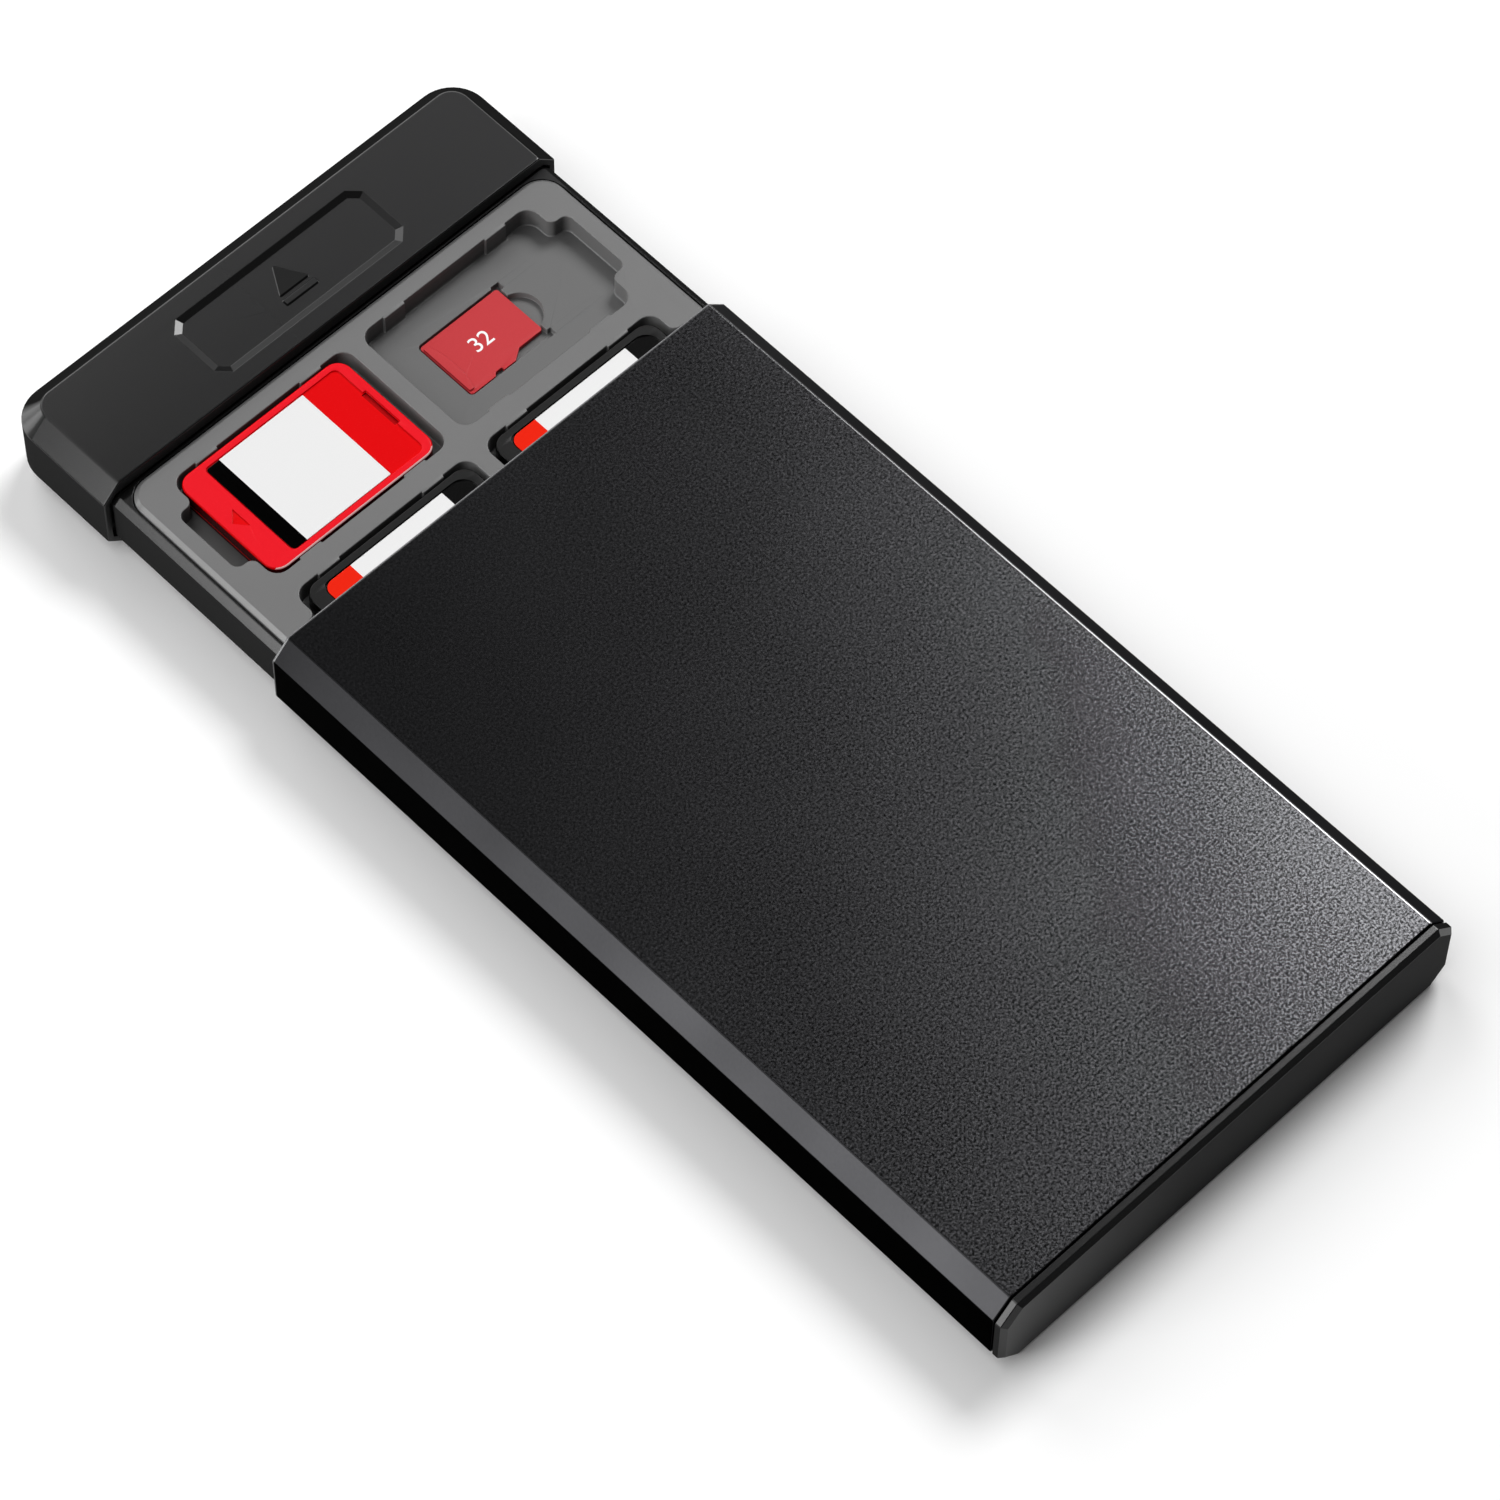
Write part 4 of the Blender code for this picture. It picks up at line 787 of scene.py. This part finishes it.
# Each card's number, plastic, slot, label well and film, and its printed strip: how far from the
# card's middle it starts, and its colour.
CARDS = [(1, red_plastic, "red_plastic", RED_WELL, RED_FILM, 8.39, STRIP_BLACK),
         (2, card_black, "card_black_plastic", BLACK_WELL, BLACK_FILM, 7.7, STRIP_RED),
         (3, card_black, "card_black_plastic", BLACK_WELL, BLACK_FILM, 7.9, STRIP_RED)]
for number, plastic, slot, label_well, film_radii, strip_start, strip_ink in CARDS:
    name = f"game_card_{number}_"
    well_ends, well_half_width, well_radii = label_well
    low, high = span(name + "front_shell")
    x, y = (low + high)[:2] / 2
    seam_z, top_z = low[2], high[2]
    plan = rectangle(tuple(low[:2]), tuple(high[:2]))
    inside = rectangle(tuple(low[:2] + CARD_WALL), tuple(high[:2] - CARD_WALL))
    well_start, well_end = x + well_ends[0], x + well_ends[1]
    grip_x, half_grip = well_start - GRIP_REACH, GRIP_LENGTH / 2
    well = rectangle((well_start, y - well_half_width), (well_end, y + well_half_width))
    well += [(well_start, y + half_grip), (grip_x, y + half_grip),
             (grip_x, y - half_grip), (well_start, y - half_grip)]
    grip = rectangle((grip_x + GRIP_ROUND, y - half_grip + GRIP_ROUND),
                     (grip_x + GRIP_WIDTH, y + half_grip - GRIP_ROUND))

    skin = Skin()
    shell = skin.rows(carried(plan, CARD_CORNER, outer_side(top_z, seam_z, CARD_EDGE, SEAM_EDGE), 8))
    floor_z = top_z - WELL_DEPTH
    wall = sunk_wall(top_z, floor_z, WELL_EDGE, WELL_EDGE, steps=3)
    rim = skin.rows(carried(well, (*well_radii, *GRIP_RADII), wall))
    openings = [rim[0]]
    if plastic is red_plastic:
        wall = sunk_wall(top_z, top_z - ARROW_DEPTH, ARROW_EDGE, ARROW_EDGE, steps=2)
        sign = skin.rows(carried([(x + dx, y + dy) for dx, dy in ARROW], ARROW_ROUND, wall, 3))
        skin.fill(sign[-1])
        openings.append(sign[0])
    skin.fill(shell[0], *openings)
    wall = sunk_wall(floor_z, floor_z - GRIP_DEPTH, FINE_EDGE, FINE_EDGE, steps=2)
    grip = skin.rows(carried(grip, GRIP_ROUND, wall, 3))
    skin.fill(grip[-1])
    skin.fill(rim[-1], grip[0])
    wall = sunk_wall(seam_z, seam_z + HOLLOW_DEPTH, FINE_EDGE, FINE_EDGE, steps=2)
    room = skin.rows(carried(inside, HOLLOW_CORNER, wall, 3))
    skin.fill(shell[-1], room[0])
    skin.fill(room[-1])
    skin.piece(name + "front", plastic, "drawer", name + "front_shell")

    base = span(name + "back_shell")[0][2]
    rear_z = base + BACK_SHELL
    window_x = high[0] - WINDOW_MARGIN
    window = rectangle((window_x - WINDOW_LENGTH, low[1] + WINDOW_SIDE),
                       (window_x, high[1] - WINDOW_SIDE))
    wall = edge_profile([(1, rear_z), (0, rear_z), (0, base), (1, base)],
                        [0, FINE_EDGE, WINDOW_EDGE, 0], steps=3)
    skin = Skin()
    shell = skin.rows(carried(plan, CARD_CORNER, outer_side(rear_z, base, SEAM_EDGE, BACK_EDGE), 8))
    opening = skin.rows(carried(window, WINDOW_CORNER, wall, 3))
    skin.fill(shell[0], opening[0])
    skin.fill(shell[-1], opening[-1])
    skin.piece(name + "back", plastic, "drawer", name + "back_shell")

    low, high = span(name + "label")
    sides = outer_side(high[2], low[2], FILM_TOP_EDGE, FILM_FOOT_EDGE, steps=2)
    film = printed_film(name + "film", float(x + strip_start), strip_ink)
    skin = Skin()
    sheet = skin.rows(carried(rectangle(tuple(low[:2]), tuple(high[:2])), film_radii, sides, 8))
    skin.fill(sheet[0])
    skin.fill(sheet[-1])
    skin.piece(name + "film_label", film, "drawer", name + "label")

    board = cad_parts[name + "board"]
    board.data.materials.clear()
    board.data.materials.append(board_green)


# Micro card: a red chip with a narrow contact end, a small side notch and a raised lip that a
# nail lifts it by. Two plain digits are printed on it.
MICRO_THICKNESS, CHIP_CORNER, CHIP_EDGE, CHIP_FOOT = 0.7, 0.5, 0.08, 0.06
LIP_WIDTH, LIP_BELLY, LIP_BELLY_HALF, LIP_MARGIN, LIP_INSET = 1.1, 1.8, 2.2, 0.5, 0.12
LIP_DRAFT, LIP_FOOT, LIP_EDGE, LIP_CORNER, LIP_BELLY_ROUND = 0.08, 0.03, 0.1, 0.4, 2.0
NARROW_LENGTH, NARROW_STEP, SLANT_LENGTH, SLANT_ROUND = 4.6, 1.3, 1.9, 0.15
CHIP_NOTCH_START, CHIP_NOTCH_LENGTH, CHIP_NOTCH_CUT, CHIP_NOTCH_ROUND = 8.7, 1.7, 0.55, 0.1
DIGITS, DIGIT_HEIGHT, DIGIT_PLACE = "32", 3.7, (-15.0, -90.3)
DIGIT_HALF_THICKNESS, DIGIT_LIFT = 0.004, 0.006
CHIP_RED_DARK, CHIP_RED_LIGHT = (0.46, 0.023, 0.029), (0.51, 0.029, 0.036)
INK_DARK, INK_LIGHT = grey(0.78), grey(0.90)

micro_red, shader, place = new_finish("micro_card_red", (0.485, 0.026, 0.032), 0.36,
                                      Specular_IOR_Level=0.2)
speck = place.node("TexNoise", {"Vector": place, "Scale": 5.0, "Detail": 2.0})
speck.mixed(CHIP_RED_DARK, CHIP_RED_LIGHT).into(shader, "Base Color")
(0.32 + speck * 0.1).into(shader, "Roughness")
emboss(shader, speck, 0.2, 10)

low, high = span("micro_card")
left, right_x, front, rear = low[0], high[0], low[1], high[1]
face_z = low[2] + MICRO_THICKNESS
notch, notch_end = left + CHIP_NOTCH_START, left + CHIP_NOTCH_START + CHIP_NOTCH_LENGTH
chip = [(left, front), (right_x, front), (right_x, rear), (notch_end, rear),
        (notch_end - CHIP_NOTCH_CUT, rear - CHIP_NOTCH_CUT), (notch, rear - CHIP_NOTCH_CUT),
        (notch, rear), (left + NARROW_LENGTH + SLANT_LENGTH, rear),
        (left + NARROW_LENGTH, rear - NARROW_STEP), (left, rear - NARROW_STEP)]
radii = np.array([*[CHIP_CORNER] * 3, *[CHIP_NOTCH_ROUND] * 4, SLANT_ROUND, SLANT_ROUND, CHIP_CORNER])
skin = Skin()
body = skin.rows(carried(chip, radii, outer_side(face_z, low[2], CHIP_EDGE, CHIP_FOOT, steps=3)))
crest_x, start_x, belly_x = right_x - LIP_INSET, right_x - LIP_WIDTH, right_x - LIP_BELLY
lip_front, lip_rear, middle = front + LIP_MARGIN, rear - LIP_MARGIN, (front + rear) / 2
lip = [(start_x, lip_front), (crest_x, lip_front), (crest_x, lip_rear), (start_x, lip_rear),
       (belly_x, middle + LIP_BELLY_HALF), (belly_x, middle - LIP_BELLY_HALF)]
wall = edge_profile([(1, face_z), (0, face_z), (-LIP_DRAFT, high[2]), (-1, high[2])],
                    [0, LIP_FOOT, LIP_EDGE, 0], steps=3)
ridge = skin.rows(carried(lip, [*[LIP_CORNER] * 4, LIP_BELLY_ROUND, LIP_BELLY_ROUND], wall))
skin.fill(body[0], ridge[0])
skin.fill(ridge[-1])
skin.fill(body[-1])
skin.piece("micro_card_chip", micro_red, "drawer", "micro_card")

white_ink, shader, place = new_finish("white_ink", grey(0.84), 0.5)
worn = place.node("TexNoise", {"Vector": place, "Scale": 9.0, "Detail": 2.0})
worn.mixed(INK_DARK, INK_LIGHT).into(shader, "Base Color")
text = bpy.data.curves.new("digits", "FONT")
text.body, text.size, text.extrude = DIGITS, DIGIT_HEIGHT / 1000, DIGIT_HALF_THICKNESS / 1000
text.align_x = text.align_y = "CENTER"
stand_in = bpy.data.objects.new("digits", text)
bpy.context.scene.collection.objects.link(stand_in)
digits_mesh = bpy.data.meshes.new_from_object(
    stand_in.evaluated_get(bpy.context.evaluated_depsgraph_get()))
bpy.data.objects.remove(stand_in, do_unlink=True)
digits_mesh.transform(Matrix.Translation(Vector((*DIGIT_PLACE, face_z + DIGIT_LIFT)) / 1000)
                      @ Matrix.Rotation(np.pi, 4, "Z"))
digits_mesh.materials.clear()
digits_mesh.materials.append(white_ink)
digits = bpy.data.objects.new("micro_card_digits", digits_mesh)
bpy.context.scene.collection.objects.link(digits)
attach(digits, "drawer")
